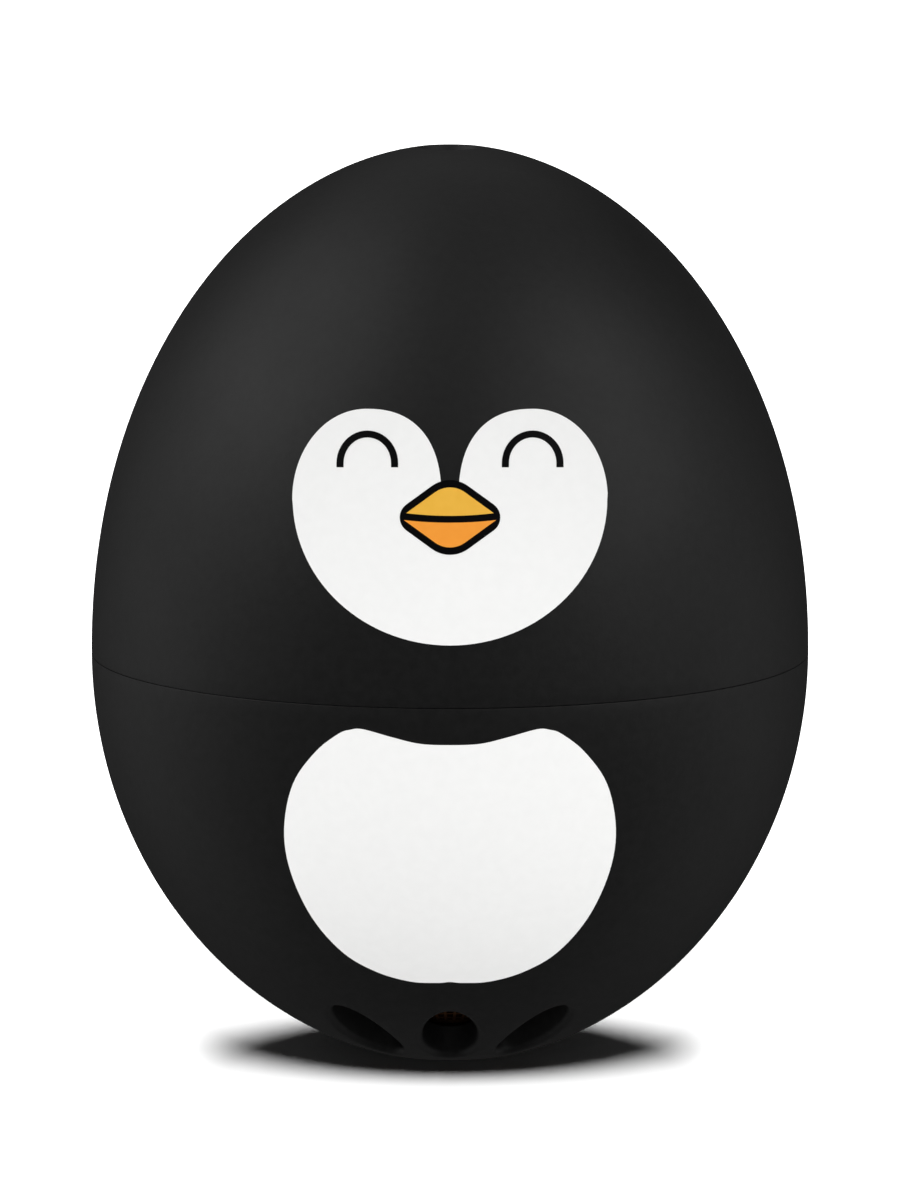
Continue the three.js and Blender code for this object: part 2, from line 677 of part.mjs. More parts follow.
function cellHolder() {
  const inner = CELL.radius + HOLDER.clearance;
  const body = plate(uShape(inner + HOLDER.wall), HOLDER.bottom, HOLDER.top, HOLDER.steps);
  const cavity = plate(uShape(inner), HOLDER.floor, HOLDER.top + OVERRUN, HOLDER.steps);
  const { length, height } = HOLDER.mouth;
  const middle = HOLDER.floor + height / 2;
  const mouth = new THREE.BoxGeometry(2 * inner, length, height).translate(0, HOLDER.length, middle);
  const { length: long, width, depth, height: cutHeight } = HOLDER.pocket;
  const pocket = block(long, width, cutHeight, HOLDER.floor - depth);
  return cut(body, cavity, mouth, pocket);
}

// A sprung strap over the holder, from one board pad to the other, that presses on the cell's positive face.
function positiveContact() {
  const { legX: x, top, thickness: t } = STRAP;
  const bottom = BOARD.top + SEAT;
  const outline = [
    [x, bottom],
    [x, top],
    [-x, top],
    [-x, bottom],
    [-x + t, bottom],
    [-x + t, top - t],
    [x - t, top - t],
    [x - t, bottom],
  ];
  const shape = new THREE.Shape(outline.map(([a, b]) => new THREE.Vector2(a, b)));
  return new THREE.ExtrudeGeometry(shape, { depth: STRAP.width, bevelEnabled: false })
    .translate(0, 0, -STRAP.width / 2)
    .rotateX(Math.PI / 2)
    .translate(0, STRAP.middleY, 0);
}

// An arched leaf in the holder's pocket, under the cell's negative face.
function negativeContact() {
  const { half, foot, arch, thickness: t } = LEAF;
  const z = HOLDER.floor - foot;
  const shape = new THREE.Shape();
  shape.moveTo(-half, z);
  shape.quadraticCurveTo(0, z + arch, half, z);
  shape.lineTo(half, z + t);
  shape.quadraticCurveTo(0, z + arch + t, -half, z + t);
  shape.closePath();
  const width = HOLDER.pocket.width - 2 * LEAF.side;
  return new THREE.ExtrudeGeometry(shape, { depth: width, bevelEnabled: false, curveSegments: LEAF.steps })
    .translate(0, 0, -width / 2)
    .rotateX(Math.PI / 2);
}

// The positive can, with a shallow recess below for the insulating grommet and the negative cap.
function cellCan() {
  const { radius, edge, bandBottom, top } = CELL;
  const recess = CELL.grommetRadius + SEAT;
  const underside = bandBottom + CELL.recess;
  const outline = [
    at(0, underside),
    at(recess, underside),
    at(recess, bandBottom),
    at(radius - edge, bandBottom),
    at(radius, bandBottom + edge),
    at(radius, top - edge),
    at(radius - edge, top),
    at(0, top),
  ];
  return turned(outline, ROUND);
}

function cellCap() {
  const { capRadius, capEdge, bottom, bandBottom, capRise } = CELL;
  const outline = [
    at(0, bottom),
    at(capRadius - capEdge.in, bottom),
    at(capRadius, bottom + capEdge.up),
    at(capRadius, bandBottom + capRise),
    at(0, bandBottom + capRise),
  ];
  return turned(outline, ROUND);
}

place(lowerHalf, "cell_holder", cellHolder(), MATERIAL.innerPlastic);
place(lowerHalf, "positive_contact", positiveContact(), MATERIAL.steel);
place(lowerHalf, "negative_contact", negativeContact(), MATERIAL.steel);
place(coinCell, "cell_can", cellCan(), MATERIAL.steel);
place(coinCell, "cell_cap", cellCap(), MATERIAL.steel);

// The sealing ring between the cap and the can.
function cellGrommet() {
  const bottom = CELL.bottom + CELL.capEdge.up;
  return ring(CELL.capRadius + SEAT, CELL.grommetRadius, bottom, CELL.bandBottom + CELL.capRise, ROUND);
}

place(coinCell, "cell_grommet", cellGrommet(), MATERIAL.component);

// ---- leads ------------------------------------------------------------------------------------------------

const LEAD = { radius: 0.5, steps: 10, top: BOARD.bottom - 0.15 };
const RED_ROUTE = [
  [3, 0, ceramicTop + SEAT],
  [2.6, 0.2, 12.6],
  [1.5, 0.6, 15],
  [1.3, 0.6, 22],
  [2.2, 0.4, 26.5],
  [4, 0, LEAD.top],
];
const BLACK_ROUTE = [
  [-5.65, 0, 10.8],
  [-5.2, 0, 11.8],
  [-3, -0.2, 12.3],
  [-1.6, -0.6, 14.5],
  [-1.3, -0.6, 22],
  [-4, 0, LEAD.top],
];
const THERMISTOR_ROUTE = [
  [probeX, probeY, 8.95],
  [probeX, probeY, 16],
  [probeX - 0.2, probeY, 23],
  [probeX - 0.8, probeY - 0.4, LEAD.top],
];

function placeLead(name, route, material) {
  place(lowerHalf, name, lead(route, LEAD.radius, LEAD.steps), material);
}

placeLead("sounder_lead_red", RED_ROUTE, MATERIAL.redLead);
placeLead("sounder_lead_black", BLACK_ROUTE, MATERIAL.blackLead);
placeLead("thermistor_lead", THERMISTOR_ROUTE, MATERIAL.blackLead);

export default egg;
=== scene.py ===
"""An egg-shaped kitchen timer that boils in the pot with the eggs.

Two moulded black half shells screw together at the widest height. A penguin's face is pad printed on the
upper one and its belly on the lower one. Inside are a wet sound chamber with a gauze, a sealed sounder, a
ballast weight, a circuit board and a coin cell in its holder.

Every size in the classes is in millimetres. A mesh is scaled to metres when its piece is finished.
"""
import logging
import math
from dataclasses import dataclass
from enum import Enum
from functools import cache
from typing import Iterable, Sequence

import bmesh
import bpy
from bmesh.types import BMesh
from mathutils import Matrix, Vector


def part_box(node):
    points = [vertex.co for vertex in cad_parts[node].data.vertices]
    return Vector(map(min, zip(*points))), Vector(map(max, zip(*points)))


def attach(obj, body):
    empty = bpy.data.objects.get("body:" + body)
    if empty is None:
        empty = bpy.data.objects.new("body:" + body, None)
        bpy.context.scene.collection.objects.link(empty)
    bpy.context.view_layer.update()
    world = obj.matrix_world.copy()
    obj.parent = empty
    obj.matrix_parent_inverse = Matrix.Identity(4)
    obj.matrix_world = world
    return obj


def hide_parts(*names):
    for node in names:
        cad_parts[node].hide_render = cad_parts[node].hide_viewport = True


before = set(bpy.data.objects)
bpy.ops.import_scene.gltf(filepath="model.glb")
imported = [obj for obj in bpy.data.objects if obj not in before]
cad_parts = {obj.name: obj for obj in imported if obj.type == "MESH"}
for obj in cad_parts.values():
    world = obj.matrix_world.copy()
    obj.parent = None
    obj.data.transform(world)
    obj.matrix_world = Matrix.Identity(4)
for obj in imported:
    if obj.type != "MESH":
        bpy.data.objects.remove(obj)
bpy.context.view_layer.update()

log = logging.getLogger("egg_timer")
MM = 0.001
ROUND = 120  # sides of the shells and of every large ring
SMALL = 48  # sides of screws, components and bores
FULL_TURN = 2 * math.pi
FRONT = -90.0  # azimuth of the egg's front, in degrees from +X
CORNER = math.radians(30)  # an edge sharper than this is a corner
FLAT = math.radians(0.5)  # faces that bend less than this at an edge are one face after a cut
MERGE = 2e-3  # vertices nearer to each other than this are one
NEARLY_HALF = 0.49  # the most of a side that one rounded corner takes
USUAL_NOISE = (0.3, 0.7)  # nearly all of a noise's values lie between these
WALL = 2.0  # thickness of both shells
SEAT = 0.1  # between faces that are clamped or glued together
OVERRUN = 1.0  # how far a cutting tool runs past the piece
ROOTED = 0.3  # how deep a welded-on shape reaches into its neighbour

Point = tuple[float, ...]


class Body(Enum):
    """The bodies that pieces ride on."""

    BASE = "base"
    SEAL = "seal"
    UPPER = "upper"
    CELL = "cell"


class Marks(Enum):
    """What the last working step left on a metal surface."""

    TURNED = "rings about the upright axis"
    DRAWN = "lines along the upright axis"
    ROLLED = "lines along the sheet"
    PLATED = "soft unevenness"


# ---- nodes and colours ---------------------------------------------------------------------------


def linear(code: str) -> tuple[float, float, float, float]:
    """Turns an sRGB hex colour into the linear colour that shaders take.

    Args:
        code: A colour such as "#1a1a1a".
    Returns:
        Linear red, green, blue, and an alpha of 1.
    """
    values = [int(code[i : i + 2], 16) / 255 for i in (1, 3, 5)]
    red, green, blue = (v / 12.92 if v <= 0.04045 else ((v + 0.055) / 1.055) ** 2.4 for v in values)
    return red, green, blue, 1.0


def per_metre(size: float) -> float:
    """Scale of a texture on Object coordinates whose features are `size` millimetres across."""
    return 1 / (size * MM)


def add_node(tree: bpy.types.NodeTree, kind: str, inputs: dict | None = None, **settings) -> bpy.types.Node:
    """Adds one node with its settings, values and links.

    Args:
        tree: The material's node tree.
        kind: The node's type name.
        inputs: Socket name or number to a value, or to the output socket that feeds it.
        settings: The node's own properties.
    Returns:
        The new node.
    """
    node = tree.nodes.new(kind)
    for name, value in settings.items():
        setattr(node, name, value)
    for socket, value in (inputs or {}).items():
        if isinstance(value, bpy.types.NodeSocket):
            tree.links.new(value, node.inputs[socket])
        else:
            node.inputs[socket].default_value = value
    return node


@dataclass(frozen=True)
class Finish:
    """A material and how its surface was made. Subclasses add the surface's detail."""

    name: str
    color: str
    roughness: float
    metallic: float = 0.0
    ior: float = 1.5

    def draw(self, tree: bpy.types.NodeTree, shader: bpy.types.Node) -> None:
        """Adds the surface's detail to the plain shader."""

    def noise(self, tree: bpy.types.NodeTree, size: float, detail: float) -> bpy.types.NodeSocket:
        """Adds noise whose lumps are `size` millimetres across.

        Args:
            tree: The material's node tree.
            size: Width of a lump, in millimetres.
            detail: Octaves of finer noise.
        Returns:
            The noise's value, from 0 to 1.
        """
        place = add_node(tree, "ShaderNodeTexCoord").outputs["Object"]
        values = {"Vector": place, "Scale": per_metre(size), "Detail": detail}
        return add_node(tree, "ShaderNodeTexNoise", values).outputs[0]

    def between(
        self, tree: bpy.types.NodeTree, value: bpy.types.NodeSocket, low: float, high: float
    ) -> bpy.types.NodeSocket:
        """Spreads the usual values of a noise over a range.

        Args:
            tree: The material's node tree.
            value: The noise's value.
            low: What its usual lowest value becomes.
            high: What its usual highest value becomes.
        Returns:
            The spread value.
        """
        darkest, brightest = USUAL_NOISE
        inputs = {"Value": value, "From Min": darkest, "From Max": brightest, "To Min": low, "To Max": high}
        return add_node(tree, "ShaderNodeMapRange", inputs).outputs[0]

    def shade(
        self, tree: bpy.types.NodeTree, shader: bpy.types.Node, value: bpy.types.NodeSocket, other: str
    ) -> None:
        """Varies the base colour from the finish's own to another.

        Args:
            tree: The material's node tree.
            shader: The shader that takes the colour.
            value: How far the colour has changed, from 0 to 1.
            other: The other colour, as sRGB hex.
        """
        inputs = {0: value, 6: linear(self.color), 7: linear(other)}
        mix = add_node(tree, "ShaderNodeMix", inputs, data_type="RGBA")
        tree.links.new(mix.outputs[2], shader.inputs["Base Color"])

    def bump(
        self, tree: bpy.types.NodeTree, shader: bpy.types.Node, height: bpy.types.NodeSocket, depth: float
    ) -> None:
        """Raises the surface.

        Args:
            tree: The material's node tree.
            shader: The shader that takes the bent normals.
            height: The height, from 0 to 1.
            depth: What a height of 1 stands for, in millimetres.
        """
        inputs = {"Height": height, "Distance": depth * MM, "Strength": 1.0}
        node = add_node(tree, "ShaderNodeBump", inputs)
        tree.links.new(node.outputs["Normal"], shader.inputs["Normal"])


@dataclass(frozen=True)
class Moulded(Finish):
    """A moulded polymer: the grain that spark erosion left in the tool, and slight differences in gloss."""

    grain: float = 0.2  # width of a lump of the grain
    depth: float = 0.004
    other: str = ""  # the colour of its specks, if it has any
    gloss_swing: float = 0.05
    specular: float = 0.5
    patch: float = 30.0  # width of a patch of gloss, in grains
    speck: float = 2.2  # width of a speck, in grains

    def draw(self, tree: bpy.types.NodeTree, shader: bpy.types.Node) -> None:
        """Adds grain, uneven gloss and a faint mottle."""
        shader.inputs["Specular IOR Level"].default_value = self.specular
        self.bump(tree, shader, self.noise(tree, self.grain, 3.0), self.depth)
        patches = self.noise(tree, self.patch * self.grain, 4.0)
        low, high = self.roughness - self.gloss_swing, self.roughness + self.gloss_swing
        tree.links.new(self.between(tree, patches, low, high), shader.inputs["Roughness"])
        if self.other:
            specks = self.noise(tree, self.speck * self.grain, 2.0)
            self.shade(tree, shader, self.between(tree, specks, 0.0, 1.0), self.other)


@dataclass(frozen=True)
class Worked(Finish):
    """A metal with the marks of its last working step and patches of handling or tarnish."""

    marks: Marks = Marks.PLATED
    pitch: float = 0.15  # spacing of the marks
    depth: float = 0.001
    tarnish: str = ""
    metallic: float = 1.0
    patch: float = 12.0  # width of a handled patch, in pitches
    cloud: float = 16.0  # width of a cloud of tarnish, in pitches
    gloss_range: Point = (0.8, 1.25)  # roughness of the patches, as shares of the finish's own
    drawn_out: float = 0.03  # width of a line over its length

    def draw(self, tree: bpy.types.NodeTree, shader: bpy.types.Node) -> None:
        """Adds tool marks, uneven gloss and tarnish."""
        self.bump(tree, shader, self._marks(tree), self.depth)
        patches = self.noise(tree, self.patch * self.pitch, 4.0)
        low, high = (share * self.roughness for share in self.gloss_range)
        tree.links.new(self.between(tree, patches, low, high), shader.inputs["Roughness"])
        if self.tarnish:
            cloud = self.noise(tree, self.cloud * self.pitch, 5.0)
            self.shade(tree, shader, self.between(tree, cloud, 0.0, 1.0), self.tarnish)

    def _marks(self, tree: bpy.types.NodeTree) -> bpy.types.NodeSocket:
        """Adds the tool marks.

        Args:
            tree: The material's node tree.
        Returns:
            Their height, from 0 to 1.
        """
        place = add_node(tree, "ShaderNodeTexCoord").outputs["Object"]
        if self.marks is Marks.TURNED:
            scale = per_metre(2 * self.pitch) / 2
            inputs = {"Vector": place, "Scale": scale, "Distortion": 0.4, "Detail": 2.0}
            settings = {"wave_type": "RINGS", "rings_direction": "Z"}
            return add_node(tree, "ShaderNodeTexWave", inputs, **settings).outputs["Fac"]
        if self.marks is Marks.PLATED:
            return self.noise(tree, 2 * self.pitch, 3.0)
        long_axis = 2 if self.marks is Marks.DRAWN else 1
        stretch = [1.0, 1.0, 1.0]
        stretch[long_axis] = self.drawn_out
        along = add_node(tree, "ShaderNodeMapping", {"Vector": place, "Scale": stretch})
        inputs = {"Vector": along.outputs[0], "Scale": per_metre(self.pitch), "Detail": 1.0}
        return add_node(tree, "ShaderNodeTexNoise", inputs).outputs[0]


@dataclass(frozen=True)
class Foamed(Finish):
    """Closed-cell foam rubber, cut from a sheet so that its cells stand open."""

    cell: float = 0.45  # width of a cell
    depth: float = 0.3  # depth of a cut cell over its width
    # painted shade: the colour mixed in at the bottom of each cut cell
    shadow: str = "#0e0e10"

    def draw(self, tree: bpy.types.NodeTree, shader: bpy.types.Node) -> None:
        """Adds the cut cells, with painted shade at the bottom of each."""
        place = add_node(tree, "ShaderNodeTexCoord").outputs["Object"]
        cells = add_node(tree, "ShaderNodeTexVoronoi", {"Vector": place, "Scale": per_metre(self.cell)})
        height = cells.outputs["Distance"]
        self.bump(tree, shader, height, self.depth * self.cell)
        self.shade(tree, shader, self.between(tree, height, 1.0, 0.0), self.shadow)


@dataclass(frozen=True)
class Laminate(Finish):
    """Glass-fibre laminate under green solder mask: the cloth's weave shows faintly through the lacquer."""

    thread: float = 0.5  # spacing of the cloth's threads
    coarseness: float = 0.15  # the weave is drawn about twice as coarse as it is, or it would not show
    depth: float = 0.004
    crown: str = "#1d5c38"  # the lacquer's colour over a thread

    def draw(self, tree: bpy.types.NodeTree, shader: bpy.types.Node) -> None:
        """Adds the weave in the colour and in the height."""
        place = add_node(tree, "ShaderNodeTexCoord").outputs["Object"]
        inputs = {"Vector": place, "Scale": per_metre(self.thread) * self.coarseness, "Distortion": 0.3}
        warp, weft = (
            add_node(tree, "ShaderNodeTexWave", inputs, bands_direction=direction).outputs["Fac"]
            for direction in ("X", "Y")
        )
        weave = add_node(tree, "ShaderNodeMath", {0: warp, 1: weft}, operation="MULTIPLY").outputs[0]
        self.bump(tree, shader, weave, self.depth)
        self.shade(tree, shader, weave, self.crown)


class Finishes:
    """Every finish on the timer, with typical values for the real material."""

    # Heat-proof polyamide from a fine spark-eroded mould: near black, a broad soft sheen, tiny specks.
    SHELL = Moulded(
        "moulded_black_polyamide", "#0e0e0e", 0.55, grain=0.22, depth=0.006, other="#131313", gloss_swing=0.03
    )
    # Inner mouldings from a polished tool: dark grey and slightly glossier.
    INNER = Moulded("moulded_dark_grey_abs", "#2c2c2f", 0.42, grain=0.5, depth=0.004, other="#323236")
    # Pad-printing inks: thin, opaque, a little glossier than the grained shell that they lie on.
    WHITE_INK = Moulded(
        "pad_printed_white_ink", "#f3f3f2", 0.5, grain=0.3, depth=0.0008, other="#f1f1f0", gloss_swing=0.01,
        specular=0.3
    )
    BLACK_INK = Moulded("pad_printed_black_ink", "#050506", 0.5, grain=0.3, depth=0.002, specular=0.1)
    YELLOW_INK = Moulded("pad_printed_yellow_ink", "#ebb43f", 0.5, grain=0.3, depth=0.002, other="#e8b03a")
    ORANGE_INK = Moulded("pad_printed_orange_ink", "#f39a31", 0.5, grain=0.3, depth=0.002, other="#f0962d")
    # Silicone rubber, cured in a mould: grey, with a dull bloom.
    SILICONE = Moulded(
        "cured_grey_silicone", "#8d9295", 0.65, ior=1.43, grain=0.35, depth=0.006, other="#858a8d"
    )
    # Etched bronze sheet, browned by hot water: dull brown clouds on a warm metal.
    GAUZE = Worked("etched_bronze", "#a87244", 0.5, pitch=0.1, tarnish="#7a5030")
    # Rolled brass sheet: yellow, with fine lines along the roll.
    BRASS = Worked("rolled_brass", "#d6ae5c", 0.3, marks=Marks.ROLLED, pitch=0.12, tarnish="#b98f42")
    # Fired and ground piezo ceramic: chalky off-white.
    CERAMIC = Moulded(
        "fired_piezo_ceramic", "#d8d2c4", 0.6, ior=2.0, grain=0.08, depth=0.003, other="#cfc8b8"
    )
    # Stainless steel drawn to a tube or a can: cool grey, with lines along the draw.
    STAINLESS = Worked("drawn_stainless_steel", "#b9bbbd", 0.28, marks=Marks.DRAWN, pitch=0.08)
    # Free-cutting steel, turned and zinc plated: rings from the tool under a faintly yellow grey.
    BALLAST = Worked(
        "turned_zinc_plated_steel", "#a4a8ad", 0.36, marks=Marks.TURNED, pitch=0.25, depth=0.006,
        tarnish="#989b94"
    )
    # Nickel-plated strip for contacts: bright and slightly warm.
    SPRING = Worked("nickel_plated_spring_steel", "#c9c6bf", 0.24, marks=Marks.ROLLED, pitch=0.08)
    # Nickel-plated steel of a cell's can: satin, almost without marks.
    CELL = Worked(
        "nickel_plated_cell_steel", "#c4c5c6", 0.26, marks=Marks.ROLLED, pitch=0.05, depth=0.0004
    )
    # Barrel-plated zinc on screws: soft and uneven.
    SCREW = Worked("zinc_plated_screw_steel", "#bfc3c6", 0.32, pitch=0.1, tarnish="#a9aeb0")
    # Tin on copper legs, pads and solder: bright and slightly lumpy.
    TIN = Worked("tinned_copper", "#cfd0d0", 0.3, pitch=0.08)
    # Deep-drawn aluminium can: pale, with lines up its side.
    ALUMINIUM = Worked("drawn_aluminium", "#cdcfd1", 0.3, marks=Marks.DRAWN, pitch=0.06)
    # Enamelled winding wire: reddish, with a lacquer's shine.
    COPPER = Worked("enamelled_copper_wire", "#a9562c", 0.3, marks=Marks.DRAWN, pitch=0.1)
    # Pressed and sintered ferrite: dull charcoal.
    FERRITE = Moulded("sintered_ferrite", "#2a2a2c", 0.55, grain=0.08, depth=0.004)
    # Transfer-moulded epoxy of chips and drops of potting resin: matt black.
    EPOXY = Moulded("moulded_black_epoxy", "#1b1b1d", 0.55, ior=1.55, grain=0.06, depth=0.003)
    # Heat-shrunk PVC: glossy black.
    SLEEVE = Moulded("shrunk_pvc_sleeve", "#15171b", 0.3, grain=0.6, depth=0.004)
    # Extruded PVC round stranded wire: smooth, with a soft shine.
    RED_LEAD = Moulded("extruded_red_pvc", "#a8221c", 0.35, grain=0.4, depth=0.003)
    BLACK_LEAD = Moulded("extruded_black_pvc", "#161616", 0.35, grain=0.4, depth=0.003)
    # Foam rubber sheet, die cut: open cells, with painted shade at their bottoms.
    FOAM = Foamed("cut_foam_rubber", "#3b3b3e", 0.95)
    # Solder mask on glass-fibre laminate, and the same over copper, which shines through lighter.
    BOARD = Laminate("green_solder_mask", "#175032", 0.3)
    TRACK = Laminate("green_solder_mask_over_copper", "#2a7a48", 0.28)


@cache
def material_of(finish: Finish) -> bpy.types.Material:
    """Makes a finish's material, once.

    Args:
        finish: The finish to draw.
    Returns:
        The material.
    """
    made = bpy.data.materials.new(finish.name)
    made.use_nodes = True
    tree = made.node_tree
    tree.nodes.clear()
    values = {
        "Base Color": linear(finish.color),
        "Roughness": finish.roughness,
        "Metallic": finish.metallic,
        "IOR": finish.ior,
    }
    shader = add_node(tree, "ShaderNodeBsdfPrincipled", values)
    add_node(tree, "ShaderNodeOutputMaterial", {"Surface": shader.outputs["BSDF"]})
    finish.draw(tree, shader)
    return made


# ---- shaping -------------------------------------------------------------------------------------


def rounded(points: Sequence[Point], steps: int = 4, closed: bool = False) -> list[Vector]:
    """Rounds the corners of a line in a plane.

    Args:
        points: (x, y) or (x, y, radius) of each corner.
        steps: Segments in each rounded corner.
        closed: Whether the last point joins the first.
    Returns:
        The line, with an arc in place of each corner that has a radius.
    """
    line: list[Vector] = []
    last = len(points) - 1
    for i, point in enumerate(points):
        here = Vector(point[:2])
        if len(point) < 3 or (not closed and i in (0, last)):
            line.append(here)
            continue
        back = Vector(points[i - 1][:2]) - here
        ahead = Vector(points[0 if i == last else i + 1][:2]) - here
        half = back.angle(ahead) / 2
        reach = min(point[2] / math.tan(half), NEARLY_HALF * back.length, NEARLY_HALF * ahead.length)
        start, end = back.normalized() * reach, ahead.normalized() * reach
        middle = (start + end).normalized() * (reach / math.cos(half))
        sweep = (start - middle).angle(end - middle)
        for k in range(steps + 1):
            before, after = math.sin(sweep * (1 - k / steps)), math.sin(sweep * k / steps)
            turned = ((start - middle) * before + (end - middle) * after) / math.sin(sweep)
            line.append(here + middle + turned)
    return line


def spun(line: Sequence[Sequence[float]], closed: bool = False, sides: int = ROUND) -> BMesh:
    """Spins a line of (radius, height) points about the upright axis.

    Args:
        line: The section, from one end to the other.
        closed: Whether the section is a closed loop.
        sides: How many steps the full turn takes.
    Returns:
        The surface, merged where it meets the axis.
    """
    bm = bmesh.new()
    verts = [bm.verts.new((r, 0, z)) for r, z in line]
    pairs = list(zip(verts, verts[1:] + verts[:1]))
    edges = [bm.edges.new(pair) for pair in (pairs if closed else pairs[:-1])]
    bmesh.ops.spin(
        bm,
        geom=verts + edges,
        cent=(0, 0, 0),
        axis=(0, 0, 1),
        angle=FULL_TURN,
        steps=sides,
        use_merge=True,
    )
    return tidied(bm)


def tidied(bm: BMesh) -> BMesh:
    """Merges what touches and turns every face outwards."""
    bmesh.ops.remove_doubles(bm, verts=bm.verts, dist=MERGE)
    bmesh.ops.recalc_face_normals(bm, faces=bm.faces)
    return bm


def ring(
    inner: float, outer: float, low: float, high: float, corner: float = 0.1, sides: int = ROUND
) -> BMesh:
    """A ring, or a disc where the inner radius is 0, with rounded corners.

    Args:
        inner: Inner radius.
        outer: Outer radius.
        low: Height of its underside.
        high: Height of its top.
        corner: Radius of the corners.
        sides: How many sides a full turn has.
    Returns:
        The closed ring.
    """
    rim = [(outer, low, corner), (outer, high, corner)]
    if inner == 0:
        return spun(rounded([(0, low), *rim, (0, high)]), sides=sides)
    corners = [(inner, low, corner), *rim, (inner, high, corner)]
    return spun(rounded(corners, closed=True), closed=True, sides=sides)


def joined(parts: Iterable[BMesh]) -> BMesh:
    """Puts several meshes into one.

    Args:
        parts: The meshes. They are freed.
    Returns:
        One mesh with everything in it.
    """
    whole = bmesh.new()
    for part in parts:
        carrier = bpy.data.meshes.new("carrier")
        part.to_mesh(carrier)
        part.free()
        whole.from_mesh(carrier)
        bpy.data.meshes.remove(carrier)
    return whole


def moved(bm: BMesh, *matrices: Matrix) -> BMesh:
    """Moves a mesh by each matrix in turn."""
    for matrix in matrices:
        bmesh.ops.transform(bm, matrix=matrix, verts=bm.verts)
    return bm


def spin_by(degrees: float, axis: str = "Z") -> Matrix:
    """A turn about an axis through the origin."""
    return Matrix.Rotation(math.radians(degrees), 4, axis)


def shift_by(x: float, y: float, z: float) -> Matrix:
    """A move in millimetres."""
    return Matrix.Translation((x, y, z))


def polar(reach: float, degrees: float, z: float = 0.0) -> Vector:
    """The point at a distance and an azimuth round the upright axis."""
    turn = math.radians(degrees)
    return Vector((reach * math.cos(turn), reach * math.sin(turn), z))


def slab(outline: Sequence[Sequence[float]], low: float, high: float) -> BMesh:
    """A flat outline given a thickness.

    Args:
        outline: Its points in the XY plane.
        low: Height of its underside.
        high: Height of its top.
    Returns:
        The closed slab.
    """
    bm = bmesh.new()
    face = bm.faces.new([bm.verts.new((x, y, low)) for x, y in outline])
    grown = bmesh.ops.extrude_face_region(bm, geom=[face], use_keep_orig=True)["geom"]
    top = [v for v in grown if isinstance(v, bmesh.types.BMVert)]
    bmesh.ops.translate(bm, verts=top, vec=(0, 0, high - low))
    return tidied(bm)


def brick(length: float, width: float, height: float, corner: float, segments: int = 3) -> BMesh:
    """A box centred on the origin with rounded edges.

    Args:
        length: Size along X.
        width: Size along Y.
        height: Size along Z.
        corner: Radius of its edges.
        segments: Segments in each rounded edge.
    Returns:
        The closed box.
    """
    bm = bmesh.new()
    bmesh.ops.create_cube(bm, size=1.0)
    bmesh.ops.scale(bm, vec=(length, width, height), verts=bm.verts)
    return softened(bm, corner, segments)


def softened(bm: BMesh, width: float, segments: int = 2) -> BMesh:
    """Rounds a mesh's corners.

    Args:
        bm: The closed mesh.
        width: How far the rounding reaches from each edge.
        segments: Segments in each rounding.
    Returns:
        The same mesh.
    """
    sharp = [e for e in bm.edges if e.is_manifold and e.calc_face_angle() > CORNER]
    bmesh.ops.bevel(
        bm,
        geom=sharp,
        offset=width,
        offset_type="OFFSET",
        segments=segments,
        profile=0.5,
        affect="EDGES",
        clamp_overlap=True,
        material=-1,
    )
    return bm


def carved(body: BMesh, tools: Sequence[BMesh], operation: str = "DIFFERENCE") -> BMesh:
    """Cuts tools out of a solid, or welds them on.

    Args:
        body: The solid to change.
        tools: Closed meshes that don't touch each other.
        operation: DIFFERENCE to cut, UNION to weld.
    Returns:
        The result. The meshes that went in are freed.
    """
    made = []
    for name, part in (("body", body), ("tools", joined(tools))):
        mesh = bpy.data.meshes.new(name)
        part.to_mesh(mesh)
        part.free()
        made.append(bpy.data.objects.new(name, mesh))
        bpy.context.scene.collection.objects.link(made[-1])
    modifier = made[0].modifiers.new("carve", "BOOLEAN")
    modifier.operation, modifier.object, modifier.solver = operation, made[1], "EXACT"
    result = bmesh.new()
    result.from_object(made[0], bpy.context.evaluated_depsgraph_get())
    for temporary in made:
        mesh = temporary.data
        bpy.data.objects.remove(temporary)
        bpy.data.meshes.remove(mesh)
    bmesh.ops.dissolve_limit(
        result, angle_limit=FLAT, verts=result.verts, edges=result.edges, delimit={"MATERIAL"}
    )
    return result


def painted(bm: BMesh, index: int) -> BMesh:
    """Gives a mesh one of its piece's finishes, by the finish's place in the list."""
    for face in bm.faces:
        face.material_index = index
    return bm


def node_box(node: str) -> tuple[Vector, Vector]:
    """A CAD node's lowest and highest corner, in millimetres."""
    low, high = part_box(node)
    return low / MM, high / MM


def place(
    bm: BMesh, name: str, body: Body, slot: str, finishes: Sequence[Finish], replaces: Sequence[str] = ()
) -> bpy.types.Object:
    """Finishes a piece: metres, materials, smooth shading, and the body that it rides on.

    Args:
        bm: The piece's mesh in millimetres. It is freed.
        name: The piece's name.
        body: The body that it rides on.
        slot: Not used.
        finishes: The finishes that its faces' material numbers stand for.
        replaces: The CAD nodes that it stands for.
    Returns:
        The finished object.
    """
    bmesh.ops.scale(bm, vec=(MM,) * 3, verts=bm.verts)
    mesh = bpy.data.meshes.new(name)
    bm.to_mesh(mesh)
    bm.free()
    for finish in finishes:
        mesh.materials.append(material_of(finish))
    mesh.shade_smooth()
    mesh.set_sharp_from_angle(angle=CORNER)
    piece = bpy.data.objects.new(name, mesh)
    bpy.context.scene.collection.objects.link(piece)
    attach(piece, body.value)
    if replaces:
        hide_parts(*replaces)
    log.info("%s: %d faces on %s", name, len(mesh.polygons), body.value)
    return piece


